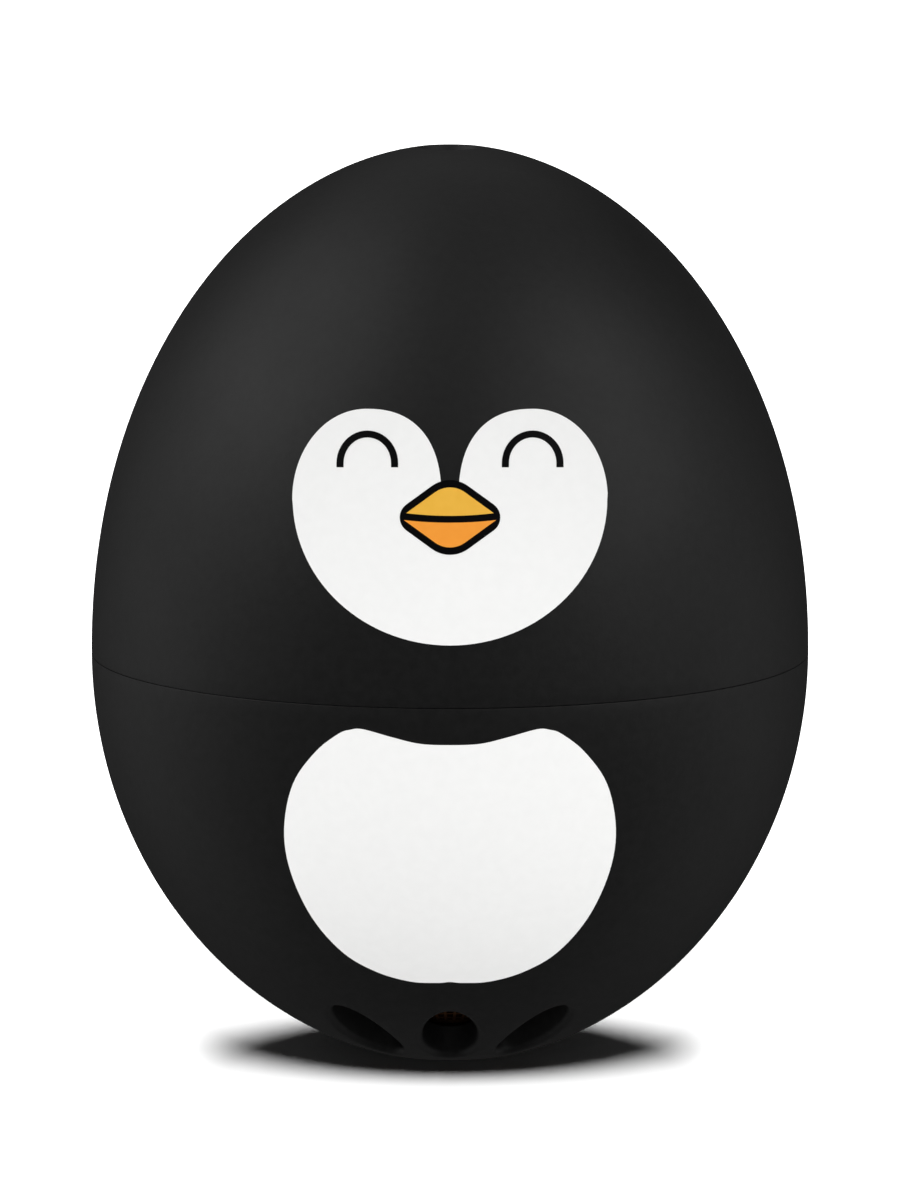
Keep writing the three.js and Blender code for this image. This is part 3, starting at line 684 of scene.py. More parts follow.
def helical(section: Sequence[Point], degrees: float, lead: float, start: float = 0.0) -> BMesh:
    """Sweeps a closed section up a right-handed helix.

    Args:
        section: The section's (radius, height) points.
        degrees: How far it turns.
        lead: Rise in one full turn.
        start: Azimuth where it starts, in degrees.
    Returns:
        The closed ridge, with its ends blended.
    """
    bm = bmesh.new()
    face = bm.faces.new([bm.verts.new((r, 0, z)) for r, z in section])
    step = 4  # degrees
    steps = max(4, round(degrees / step))
    bmesh.ops.spin(
        bm,
        geom=[face, *face.verts, *face.edges],
        cent=(0, 0, 0),
        axis=(0, 0, 1),
        dvec=(0, 0, lead * degrees / 360 / steps),
        angle=math.radians(degrees),
        steps=steps,
    )
    bmesh.ops.holes_fill(bm, edges=bm.edges, sides=0)
    return moved(tidied(bm), spin_by(start))


def lofted(rings: Sequence[Sequence[Vector]]) -> BMesh:
    """Skins a row of closed rings and caps both ends.

    Args:
        rings: The rings, each with as many points as the next.
    Returns:
        The closed solid.
    """
    bm = bmesh.new()
    loops = []
    for points in rings:
        verts = [bm.verts.new(p) for p in points]
        loops.append([bm.edges.new(pair) for pair in zip(verts, verts[1:] + verts[:1])])
    for lower, upper in zip(loops, loops[1:]):
        bmesh.ops.bridge_loops(bm, edges=lower + upper)
    bmesh.ops.holes_fill(bm, edges=loops[0] + loops[-1], sides=0)
    return tidied(bm)


def smooth(points: Sequence[Point], steps: int, closed: bool = False) -> list[Vector]:
    """Draws a smooth curve through points.

    Args:
        points: The points that it passes through.
        steps: Segments from one point to the next.
        closed: Whether it runs on from the last point to the first.
    Returns:
        The curve's points.
    """
    spots = [Vector(p) for p in points]
    count = len(spots)
    line = []
    for i in range(count if closed else count - 1):
        near = [i + k for k in (-1, 0, 1, 2)]
        a, b, c, d = (spots[k % count] if closed else spots[max(0, min(count - 1, k))] for k in near)
        for t in (k / steps for k in range(steps)):
            bend = (2 * a - 5 * b + 4 * c - d) * t**2 + (3 * b - a - 3 * c + d) * t**3
            line.append(b + ((c - a) * t + bend) / 2)
    return line if closed else [*line, spots[-1]]


def tube(route: Sequence[Vector], radius: float, sides: int = 14) -> BMesh:
    """A round rod along a route.

    Args:
        route: The points along its middle.
        radius: The rod's radius.
        sides: How many sides it has.
    Returns:
        The closed rod.
    """
    across = Vector((1, 0, 0))
    rings = []
    for i, here in enumerate(route):
        ahead = (route[min(i + 1, len(route) - 1)] - route[max(i - 1, 0)]).normalized()
        across = (across - ahead * across.dot(ahead)).normalized()
        other = ahead.cross(across)
        turns = [FULL_TURN * k / sides for k in range(sides)]
        rings.append([here + radius * (math.cos(t) * across + math.sin(t) * other) for t in turns])
    return lofted(rings)


def bead(radius: float, centre: Vector, flat: float = 1.0) -> BMesh:
    """A drop of solder or resin, flattened along Z by `flat`."""
    bm = bmesh.new()
    bmesh.ops.create_uvsphere(bm, u_segments=20, v_segments=12, radius=radius)
    return moved(bm, Matrix.Diagonal((1, 1, flat, 1)), Matrix.Translation(centre))


def arc(
    centre: Point, radii: Point, start: float, end: float, steps: int = 24, power: float = 2.0
) -> list[Vector]:
    """Points on part of an ellipse, or of a fuller superellipse.

    Args:
        centre: The ellipse's middle.
        radii: Its half width and half height.
        start: Where the arc starts, in degrees anticlockwise from the right.
        end: Where it ends.
        steps: Segments from start to end.
        power: 2 for an ellipse, and more for a fuller shape.
    Returns:
        The points.
    """
    points = []
    for k in range(steps + 1):
        turn = math.radians(start + (end - start) * k / steps)
        across, up = (math.copysign(abs(v) ** (2 / power), v) for v in (math.cos(turn), math.sin(turn)))
        points.append(Vector((centre[0] + radii[0] * across, centre[1] + radii[1] * up)))
    return points


# ---- the egg's own geometry ----------------------------------------------------------------------


@dataclass(frozen=True)
class Egg:
    """The egg's outside, and the surfaces that lie a wall's thickness inside it."""

    radius: float = 22.5
    height: float = 57.0
    seam: float = 25.2  # the widest height
    foot_cut: float = 0.85  # how far the blunt pole would lie below the foot
    pointed: Point = (2.07, 1.94)  # exponents above the seam
    blunt: Point = (2.0, 1.91)  # and below it

    def span(self, above: bool, inset: float) -> float:
        """Height from the seam to the pole of the surface that lies `inset` inside."""
        return self.height - self.seam - inset if above else self.seam + self.foot_cut - inset

    def radius_at(self, z: float, inset: float = 0.0) -> float:
        """The radius at a height."""
        above = z >= self.seam
        rise, fullness = self.pointed if above else self.blunt
        share = min(1.0, abs(z - self.seam) / self.span(above, inset))
        return (self.radius - inset) * (1 - share**rise) ** (1 / fullness)

    def outline(self, low: float, high: float, steps: int, inset: float = 0.0) -> list[Vector]:
        """Points of (radius, height) on the outline.

        Args:
            low: Where it starts.
            high: Where it ends. It may be the lower of the two.
            steps: Segments, evenly spaced in angle as seen from the seam.
            inset: How far inside the outer surface it runs.
        Returns:
            The points.
        """
        span = self.span(low + high > 2 * self.seam, inset)
        first, last = (math.asin(max(-1.0, min(1.0, (z - self.seam) / span))) for z in (low, high))
        heights = [self.seam + span * math.sin(first + (last - first) * k / steps) for k in range(steps + 1)]
        return [Vector((self.radius_at(z, inset), z)) for z in heights]

    def normal_at(self, point: Vector) -> Vector:
        """The direction straight out of the surface."""
        step = 0.01
        slope = (self.radius_at(point.z + step) - self.radius_at(point.z - step)) / (2 * step)
        out = Vector((point.x, point.y)).normalized()
        return Vector((out.x, out.y, -slope)).normalized()

    def struck(self, outside: Vector, inside: Vector) -> Vector:
        """Where a straight line from outside to inside meets the surface."""
        for _ in range(40):
            middle = (outside + inside) / 2
            if math.hypot(middle.x, middle.y) > self.radius_at(middle.z):
                outside = middle
            else:
                inside = middle
        return inside


EGG = Egg()


@dataclass(frozen=True)
class Artwork:
    """The flat artwork of the prints, and how the soft pads carry it straight back on to the egg.

    Its X runs to the right and its Y up, from a point on the egg's axis.
    """

    middle: float = 28.0  # height of the artwork's origin
    eye: Point = (0.0, -444.8, 96.1)  # the artwork is true to shape seen from here
    lean: float = math.radians(8.7)  # how far the artwork's plane leans back
    cell: float = 0.8  # a film is divided this finely, so that it follows the egg
    search: float = 0.9  # share of the way from the eye where the search for the surface starts
    white_coat: Point = (0.012, 0.023)  # gap under a coat of ink, and its thickness
    line_coat: Point = (0.040, 0.015)
    color_coat: Point = (0.060, 0.015)

    def on_egg(self, x: float, y: float, lift: float) -> Vector:
        """The point that the artwork's (x, y) lands on, lifted off the surface."""
        flat = Vector((x, y * math.sin(self.lean), self.middle + y * math.cos(self.lean)))
        eye = Vector(self.eye)
        landed = EGG.struck(eye.lerp(flat, self.search), flat)
        return landed + EGG.normal_at(landed) * lift

    def film(self, outline: Sequence[Vector], coat: Point) -> BMesh:
        """One closed film of ink.

        Args:
            outline: Its edge in the artwork.
            coat: Gap from the egg's surface to the film's underside, and the film's thickness.
        Returns:
            The film, lying on the egg.
        """
        lift, thickness = coat
        bm = slab(outline, 0.0, 1.0)
        xs, ys = [p[0] for p in outline], [p[1] for p in outline]
        for axis, low, high in ((0, min(xs), max(xs)), (1, min(ys), max(ys))):
            normal = Vector((1, 0, 0)) if axis == 0 else Vector((0, 1, 0))
            count = max(1, round((high - low) / self.cell))
            for k in range(1, count):
                across = low + (high - low) * k / count
                geometry = [*bm.verts, *bm.edges, *bm.faces]
                spot = normal * across
                bmesh.ops.bisect_plane(bm, geom=geometry, dist=1e-5, plane_co=spot, plane_no=normal)
        for vert in bm.verts:
            vert.co = self.on_egg(vert.co.x, vert.co.y, lift + thickness * vert.co.z)
        bmesh.ops.recalc_face_normals(bm, faces=bm.faces)
        return bm


ART = Artwork()


# ---- the two shells ------------------------------------------------------------------------------


@dataclass(frozen=True)
class Ridges:
    """Four short ridges of a right-handed screw closure."""

    starts: int = 4
    lead: float = 12.0
    sweep: float = 80.0
    root: float = 1.3  # width where a ridge leaves its wall
    crest: float = 0.7
    height: float = 0.75
    sunk: float = 0.3  # how deep the ridge is rooted in the wall

    def build(self, wall: float, inwards: bool, first: float, z: float) -> BMesh:
        """The four ridges.

        Args:
            wall: Radius of the wall that they stand on.
            inwards: Whether they point towards the axis.
            first: Azimuth where the first one starts.
            z: Height of its middle there.
        Returns:
            Four closed solids in one mesh.
        """
        out = -1 if inwards else 1
        chamfer = (self.root - self.crest) / 2
        section = rounded(
            [
                (wall - out * self.sunk, z - self.root / 2),
                (wall + out * (self.height - chamfer), z - self.root / 2, 0.1),
                (wall + out * self.height, z - self.crest / 2, 0.15),
                (wall + out * self.height, z + self.crest / 2, 0.15),
                (wall + out * (self.height - chamfer), z + self.root / 2, 0.1),
                (wall - out * self.sunk, z + self.root / 2),
            ],
            steps=2,
            closed=True,
        )
        starts = [first + 360 / self.starts * k for k in range(self.starts)]
        return joined(softened(helical(section, self.sweep, self.lead, a), 0.2) for a in starts)


RIDGES = Ridges()


@dataclass(frozen=True)
class UpperShell:
    """The pointed half shell with its screw skirt, and the face that is pad printed on it."""

    rim: float = 25.23
    groove: Point = (21.5, 26.9)
    bore: float = 20.2
    bore_top: float = 32.9
    dome_foot: float = 33.3
    edge: float = 0.04  # radius of the moulding's outer edge at the seam
    gate: Point = (1.5, 0.8)  # floor radius and depth of the gate recess at the pole
    gate_top: float = 56.86
    ridge: Point = (27.0, 27.9)  # azimuth and height where the first skirt ridge starts
    seal: Point = (1.0, 0.4)  # width of the seal ring and radius of its corners
    face_y: float = 6.7  # the widest height of the printed face
    chin: Point = (9.86, 9.2)
    cheek: Point = (5.26, 4.63, 5.65)  # offset and radii of each upper lobe
    cheek_inner: Point = (4.72, 2.4)  # radius and fullness of a lobe on the side that faces the other
    eye: Point = (5.18, 8.94)  # offset and height of the arch's middle
    eye_outer: Point = (1.93, 2.04)  # radii of the arch
    eye_inner: Point = (1.49, 1.61)
    eye_foot: float = 8.68
    beak: Point = (3.86, 2.80)  # half width and half height of the outline before its corners are rounded
    beak_y: float = 5.53
    beak_corners: Point = (1.01, 1.94)  # radii of its side corners and of its upright ones
    beak_rim: Point = (3.11, 2.257)  # half width and half height inside the outline
    beak_tip: float = 1.6
    mouth: Point = (0.27, 0.10)  # height of the upper colour over the beak's middle, at its ends and centre
    mouth_line: float = 0.43  # width of the black line between the two colours

    def build(self) -> None:
        """Makes the shell, its seal and the prints."""
        place(
            self._shell(), "upper_half_shell", Body.UPPER, "shell_plastic", [Finishes.SHELL], ["upper_shell"]
        )
        place(self._seal(), "silicone_seal_ring", Body.SEAL, "silicone", [Finishes.SILICONE], ["seal_ring"])
        self._print(self._face(), "printed_face", Finishes.WHITE_INK)
        self._print(self._features(), "printed_eyes_and_beak_outline", Finishes.BLACK_INK)
        self._print(self._beak_fill(upper=True), "printed_upper_beak", Finishes.YELLOW_INK)
        self._print(self._beak_fill(upper=False), "printed_lower_beak", Finishes.ORANGE_INK)

    def _print(self, film: BMesh, name: str, ink: Finish) -> None:
        """Lays one ink on the shell."""
        place(film, name, Body.UPPER, "", [ink])

    def _shell(self) -> BMesh:
        """The moulding, turned as one section, with the ridges welded into its bore."""
        gate_radius, gate_depth = self.gate
        floor = self.gate_top - gate_depth
        inner_pole = EGG.height - WALL
        gate_rim = EGG.radius_at(self.gate_top)
        section = rounded(
            [
                *EGG.outline(inner_pole, self.dome_foot, 26, WALL),
                (self.bore, self.bore_top),
                (self.bore, self.groove[1], 0.15),
                (*self.groove, 0.1),
                (self.groove[0], self.rim, 0.12),
                (EGG.radius_at(self.rim), self.rim, self.edge),
                *EGG.outline(self.rim, self.gate_top, 48)[1:-1],
                (gate_rim, self.gate_top, 0.08),
                (gate_radius, floor, 0.4),
                (0, floor),
            ]
        )
        return carved(spun(section), [RIDGES.build(self.bore, True, *self.ridge)], "UNION")

    def _seal(self) -> BMesh:
        """The ring that is squeezed in the groove when the halves are screwed together."""
        low, high = node_box("seal_ring")
        width, corner = self.seal
        return ring(high.x - width, high.x, low.z, high.z, corner)

    def _face(self) -> BMesh:
        """The white of the face: a chin and two lobes."""
        offset, wide, tall = self.cheek
        near, fullness = self.cheek_inner
        chin = (0.0, self.face_y)
        lobes = [(side * offset, self.face_y) for side in (1, -1)]
        outline = [
            *arc(chin, self.chin, -90, 0, 30),
            *arc(lobes[0], (wide, tall), 0, 90)[1:],
            *arc(lobes[0], (near, tall), 90, 180, power=fullness)[1:],
            *arc(lobes[1], (near, tall), 0, 90, power=fullness),
            *arc(lobes[1], (wide, tall), 90, 180)[1:],
            *arc(chin, self.chin, 180, 270, 30)[1:-1],
        ]
        return ART.film(outline, ART.white_coat)

    def _features(self) -> BMesh:
        """The eyes, closed in a smile, and the outline of the beak."""
        offset, middle = self.eye
        outer, inner = self.eye_outer[0], self.eye_inner[0]
        films = []
        for x in (-offset, offset):
            arch = arc((x, middle), self.eye_outer, 0, 180)
            back = arc((x, middle), self.eye_inner, 180, 0)
            feet = [Vector((x - outer, self.eye_foot)), Vector((x - inner, self.eye_foot))]
            others = [Vector((x + inner, self.eye_foot)), Vector((x + outer, self.eye_foot))]
            films.append(ART.film([*arch, *feet, *back, *others], ART.line_coat))
        films.append(ART.film(self._rhombus(), ART.line_coat))
        return joined(films)

    def _rhombus(self) -> list[Vector]:
        """The beak's outline, from its right corner anticlockwise."""
        half_width, half_height = self.beak
        side, upright = self.beak_corners
        corners = [
            (half_width, self.beak_y, side),
            (0, self.beak_y + half_height, upright),
            (-half_width, self.beak_y, side),
            (0, self.beak_y - half_height, upright),
        ]
        return rounded(corners, steps=10, closed=True)

    def _beak_fill(self, upper: bool) -> BMesh:
        """Half of the beak's colour, cut along the curved line where the beak closes."""
        drop = 0.0 if upper else self.mouth_line
        ends, middle = (self.beak_y + rise - drop for rise in self.mouth)
        half_width, half_height = self.beak_rim
        reach = half_width * (1 - abs(ends - self.beak_y) / half_height)
        tip = self.beak_y + (half_height if upper else -half_height)
        peak = rounded([(reach, ends), (0, tip, self.beak_tip), (-reach, ends)], steps=10)
        across = [reach * k / 8 for k in range(-7, 8)]
        mouth = [Vector((x, middle + (ends - middle) * (x / reach) ** 2)) for x in across]
        return ART.film([*peak, *mouth], ART.color_coat)


@dataclass(frozen=True)
class LowerShell:
    """The blunt half shell with its sound ports, the gauze behind them, and the printed belly."""

    foot_round: float = 0.9
    floor: float = 2.0
    seat: Point = (13.95, 9.0)  # the bulkhead's ledge
    seat_foot: float = 7.6
    ring_wall: Point = (19.3, 17.2)
    ring_seat: Point = (20.2, 20.9)
    mouth: float = 20.45
    edge: float = 0.04
    port_turns: Point = (-120.0, -90.0, -60.0, 60.0, 90.0, 120.0)
    port_reach: float = 10.45
    port_half: Point = (3.85, 1.7)
    port_tilt: float = 32.5
    port_lip: float = 0.5
    gauze_gap: float = 0.15
    gauze_sheet: float = 0.3
    gauze_low: float = 2.6
    gauze_high: float = 7.1
    belly: tuple[Point, ...] = (
        (0, -8.75),
        (1.9, -8.67),
        (3.63, -8.26),
        (5.48, -7.75),
        (6.28, -7.79),
        (7.03, -8.06),
        (8.45, -9.18),
        (9.85, -11.18),
        (10.40, -13.99),
        (10.0, -16.68),
        (8.67, -19.54),
        (6.72, -21.75),
        (4.6, -22.97),
        (2.5, -23.57),
        (0.8, -23.66),
        (0, -23.60),
    )

    def build(self) -> None:
        """Makes the shell, the gauze and the printed belly."""
        place(
            self._shell(), "lower_half_shell", Body.BASE, "shell_plastic", [Finishes.SHELL], ["lower_shell"]
        )
        place(self._gauze(), "etched_port_gauze", Body.BASE, "bronze_gauze", [Finishes.GAUZE], ["port_gauze"])
        right = self.belly
        left = [(-x, y) for x, y in reversed(right[1:-1])]
        film = ART.film(smooth([*right, *left], 6, closed=True), ART.white_coat)
        place(film, "printed_belly", Body.BASE, "", [Finishes.WHITE_INK])

    def _shell(self) -> BMesh:
        """The moulding, turned as one section, with six oval ports cut through its wall."""
        foot = EGG.radius_at(0)
        section = rounded(
            [
                (0, self.floor),
                (EGG.radius_at(self.floor, WALL), self.floor, 0.6),
                *EGG.outline(self.floor, self.seat_foot, 12, WALL)[1:],
                (*self.seat, 0.1),
                (EGG.radius_at(self.seat[1], WALL), self.seat[1], 0.15),
                *EGG.outline(self.seat[1], self.ring_wall[1], 10, WALL)[1:],
                (self.ring_wall[0], self.ring_seat[1], 0.1),
                (*self.ring_seat, 0.1),
                (self.mouth, EGG.seam, 0.2),
                (EGG.radius_at(EGG.seam), EGG.seam, self.edge),
                *EGG.outline(EGG.seam, 0, 44)[1:-1],
                (foot, 0, self.foot_round),
                (0, 0),
            ]
        )
        return carved(spun(section), [self._port(a) for a in self.port_turns])

    def _port(self, azimuth: float) -> BMesh:
        """The tool that cuts one port and rounds its lip over."""
        steps = 36
        share = (self.port_reach / EGG.radius) ** EGG.blunt[1]
        z = EGG.seam - EGG.span(False, 0) * (1 - share) ** (1 / EGG.blunt[0])
        centre = Vector((self.port_reach, 0, z))
        lean = math.radians(self.port_tilt)
        along, across = Vector((math.cos(lean), 0, math.sin(lean))), Vector((0, 1, 0))
        out = Vector((math.sin(lean), 0, -math.cos(lean)))
        lip = [(1 - math.cos(t), 1 - math.sin(t)) for t in (math.radians(k) for k in (0, 18, 36, 54, 70))]
        rings = [(0.0, 2.0 * WALL), *((grow * self.port_lip, dip * self.port_lip) for grow, dip in lip)]
        rings += [(1.25 * self.port_lip, -0.16 * self.port_lip), (1.25 * self.port_lip, -1.5)]
        loops = []
        for grow, depth in rings:
            loop = []
            for turn in (FULL_TURN * k / steps for k in range(steps)):
                u = (self.port_half[0] + grow) * math.cos(turn)
                v = (self.port_half[1] + grow) * math.sin(turn)
                flat = centre + along * u + across * v
                loop.append(EGG.struck(flat + out * 6, flat - out * 6) - out * depth)
            loops.append(loop)
        return moved(lofted(loops), spin_by(azimuth))

    def _gauze(self) -> BMesh:
        """A pressed bowl of etched sheet: rows of openings between two plain rims."""
        inset = WALL + self.gauze_gap
        line = EGG.outline(self.gauze_low, self.gauze_high, 10, inset)
        bowl = spun(line, sides=90)
        low, high = self.gauze_low + 0.35, self.gauze_high - 0.3
        open_faces = [f for f in bowl.faces if low < f.calc_center_median().z < high]
        inset_faces = bmesh.ops.inset_individual(bowl, faces=open_faces, thickness=0.13, depth=0.0)
        bmesh.ops.delete(bowl, geom=open_faces, context="FACES")
        log.debug("the gauze has %d openings", len(inset_faces["faces"]) // 4)
        rims = [v for v in bowl.verts]
        bmesh.ops.recalc_face_normals(bowl, faces=bowl.faces)
        bmesh.ops.solidify(bowl, geom=bowl.faces[:], thickness=self.gauze_sheet)
        assert rims
        return tidied(bowl)


# ---- what is inside the lower shell --------------------------------------------------------------


@dataclass(frozen=True)
class Screw:
    """A pan-head screw with a cross recess."""

    shank: float = 0.62
    thread: float = 0.72
    pitch: float = 0.5
    head: float = 1.35
    head_height: float = 0.8
    slot: float = 0.34
    slot_depth: float = 0.38
    wring: float = 37.0  # how much further each screw happens to be turned than the last, in degrees

    def build(self, length: float) -> BMesh:
        """The screw with its tip down and the underside of its head at the origin."""
        section = rounded(
            [
                (0, -length, 0.0),
                (self.shank, -length + 0.6, 0.15),
                (self.shank, 0, 0.05),
                (self.head, 0, 0.08),
                (self.head, 0.45 * self.head_height, 0.3),
                (0.55 * self.head, self.head_height, 0.3),
                (0, self.head_height),
            ]
        )
        turns = (length - 1.3) / self.pitch
        low = -length + 0.7
        ridge = [
            (self.shank - 0.1, low - 0.14),
            (self.thread, low - 0.03),
            (self.thread, low + 0.03),
            (self.shank - 0.1, low + 0.14),
        ]
        threaded = carved(spun(section, sides=32), [helical(ridge, 360 * turns, self.pitch)], "UNION")
        size = (1.3 * self.head, self.slot, 2 * self.slot_depth)
        arm, other = (moved(brick(*size, 0.06, 1), spin_by(turn)) for turn in (0, 90))
        cross = moved(carved(arm, [other], "UNION"), shift_by(0, 0, self.head_height))
        return carved(threaded, [cross])

    def place_ring(self, name: str, reach: float, z: float, length: float, turns: Sequence[float]) -> None:
        """Places one screw for each azimuth, and stands them for the CAD screws of that name."""
        for number, azimuth in enumerate(turns, 1):
            spot = Matrix.Translation(polar(reach, azimuth, z))
            screw = moved(self.build(length), spin_by(self.wring * number), spot)
            node = f"{name}_{number}"
            place(screw, f"pan_head_{node}", Body.BASE, "screw_steel", [Finishes.SCREW], [node])


SCREW = Screw()


@dataclass(frozen=True)
class SoundChamber:
    """The bulkhead over the wet chamber, the sounder sealed on it, and the temperature probe."""

    opening: float = 6.2
    seat: Point = (7.7, 9.9)
    bottom: float = 9.1
    top: float = 10.8
    clamp_ears: Point = (90.0, 210.0, 330.0)
    ear_reach: float = 10.3
    ear_radius: float = 1.6
    ear_top: float = 12.1
    probe_turn: float = 30.0
    probe_reach: float = 11.0
    hole: float = 0.85

    def build(self) -> None:
        """Makes every piece of the chamber."""
        place(
            self._bulkhead(), "chamber_bulkhead", Body.BASE, "inner_plastic", [Finishes.INNER], ["bulkhead"]
        )
        gasket = node_box("sounder_gasket")
        made = ring(self.opening + 0.1, gasket[1].x, gasket[0].z, gasket[1].z, 0.12)
        place(made, "flat_gasket", Body.BASE, "silicone", [Finishes.SILICONE], ["sounder_gasket"])
        self._disc("sounder_plate", "brass_diaphragm", "sounder_brass", Finishes.BRASS, 0.06)
        self._disc("sounder_ceramic", "piezo_disc", "piezo_ceramic", Finishes.CERAMIC, 0.05, rim=0.5)
        place(self._clamp(), "clamp_ring", Body.BASE, "inner_plastic", [Finishes.INNER], ["sounder_clamp"])
        SCREW.place_ring("clamp_screw", self.ear_reach, self.ear_top + SEAT, 2.4, self.clamp_ears)
        self._probe()

    def _disc(self, node: str, name: str, slot: str, finish: Finish, corner: float, rim: float = 0.0) -> None:
        """A flat disc, silvered inside its rim where it has one."""
        low, high = node_box(node)
        made = ring(0, high.x, low.z, high.z, corner)
        finishes = [finish]
        if rim:
            silvered = ring(0, high.x - rim, high.z, high.z + 0.02, 0.005)
            made = joined([made, painted(silvered, 1)])
            finishes.append(Finishes.TIN)
        place(made, name, Body.BASE, slot, finishes, [node])

    def _bulkhead(self) -> BMesh:
        """A dished plate that follows the shell's wall, with a stepped seat for the gasket."""
        gap = WALL + 0.2
        section = rounded(
            [
                (self.opening, self.bottom, 0.15),
                (EGG.radius_at(self.bottom, gap), self.bottom, 0.15),
                (EGG.radius_at(self.top, gap), self.top, 0.2),
                (self.seat[0], self.top, 0.12),
                (*self.seat, 0.08),
                (self.opening, self.seat[1], 0.12),
            ],
            closed=True,
        )
        holes = [self._drill(self.ear_reach, a, self.hole, self.bottom + 0.4) for a in self.clamp_ears]
        probe = self._drill(self.probe_reach, self.probe_turn, 1.4, self.bottom - 1)
        return carved(spun(section, closed=True), [*holes, probe])

    def _drill(self, reach: float, azimuth: float, radius: float, bottom: float) -> BMesh:
        """The tool for one upright hole through the top of a piece."""
        drill = ring(0, radius, bottom, self.top + 4 * OVERRUN, 0.05, sides=24)
        return moved(drill, Matrix.Translation(polar(reach, azimuth)))

    def _clamp(self) -> BMesh:
        """The ring with three screw ears that holds the sounder on its gasket."""
        low, high = node_box("sounder_clamp")
        foot = self.top + SEAT
        section = rounded(
            [
                (6.3, low.z, 0.1),
                (7.4, low.z, 0.1),
                (7.4, foot, 0.05),
                (9.0, foot, 0.15),
                (9.0, high.z, 0.35),
                (6.3, high.z, 0.35),
            ],
            closed=True,
        )
        ears = []
        for azimuth in self.clamp_ears:
            outline = [
                Vector((8.2, -self.ear_radius)),
                *arc((self.ear_reach, 0), (self.ear_radius,) * 2, -90, 90, 16),
                Vector((8.2, self.ear_radius)),
            ]
            ears.append(moved(softened(slab(outline, foot, self.ear_top), 0.15), spin_by(azimuth)))
        holes = [self._drill(self.ear_reach, a, self.hole, foot - 1) for a in self.clamp_ears]
        return carved(carved(spun(section, closed=True), ears, "UNION"), holes)

    def _probe(self) -> None:
        """The closed steel tube that hangs in the wet chamber, and the thermistor inside it."""
        low, high = node_box("probe_tube")
        spot = Matrix.Translation(polar(self.probe_reach, self.probe_turn))
        flange = self.top + SEAT
        section = rounded(
            [
                (0, low.z),
                (1.25, low.z, 1.0),
                (1.25, flange, 0.05),
                (1.65, flange, 0.1),
                (1.65, flange + 0.5, 0.1),
                (1.25, flange + 0.5, 0.1),
                (1.25, high.z, 0.15),
                (0.85, high.z, 0.15),
                (0.85, low.z + 0.5, 0.6),
                (0, low.z + 0.5),
            ],
            steps=5,
        )
        made = moved(spun(section, sides=SMALL), spot)
        place(made, "drawn_probe_tube", Body.BASE, "stainless_steel", [Finishes.STAINLESS], ["probe_tube"])
        low, high = node_box("thermistor_bead")
        drop = bead(0.62, (low + high) / 2)
        place(
            drop, "epoxy_thermistor_bead", Body.BASE, "component_black", [Finishes.EPOXY], ["thermistor_bead"]
        )


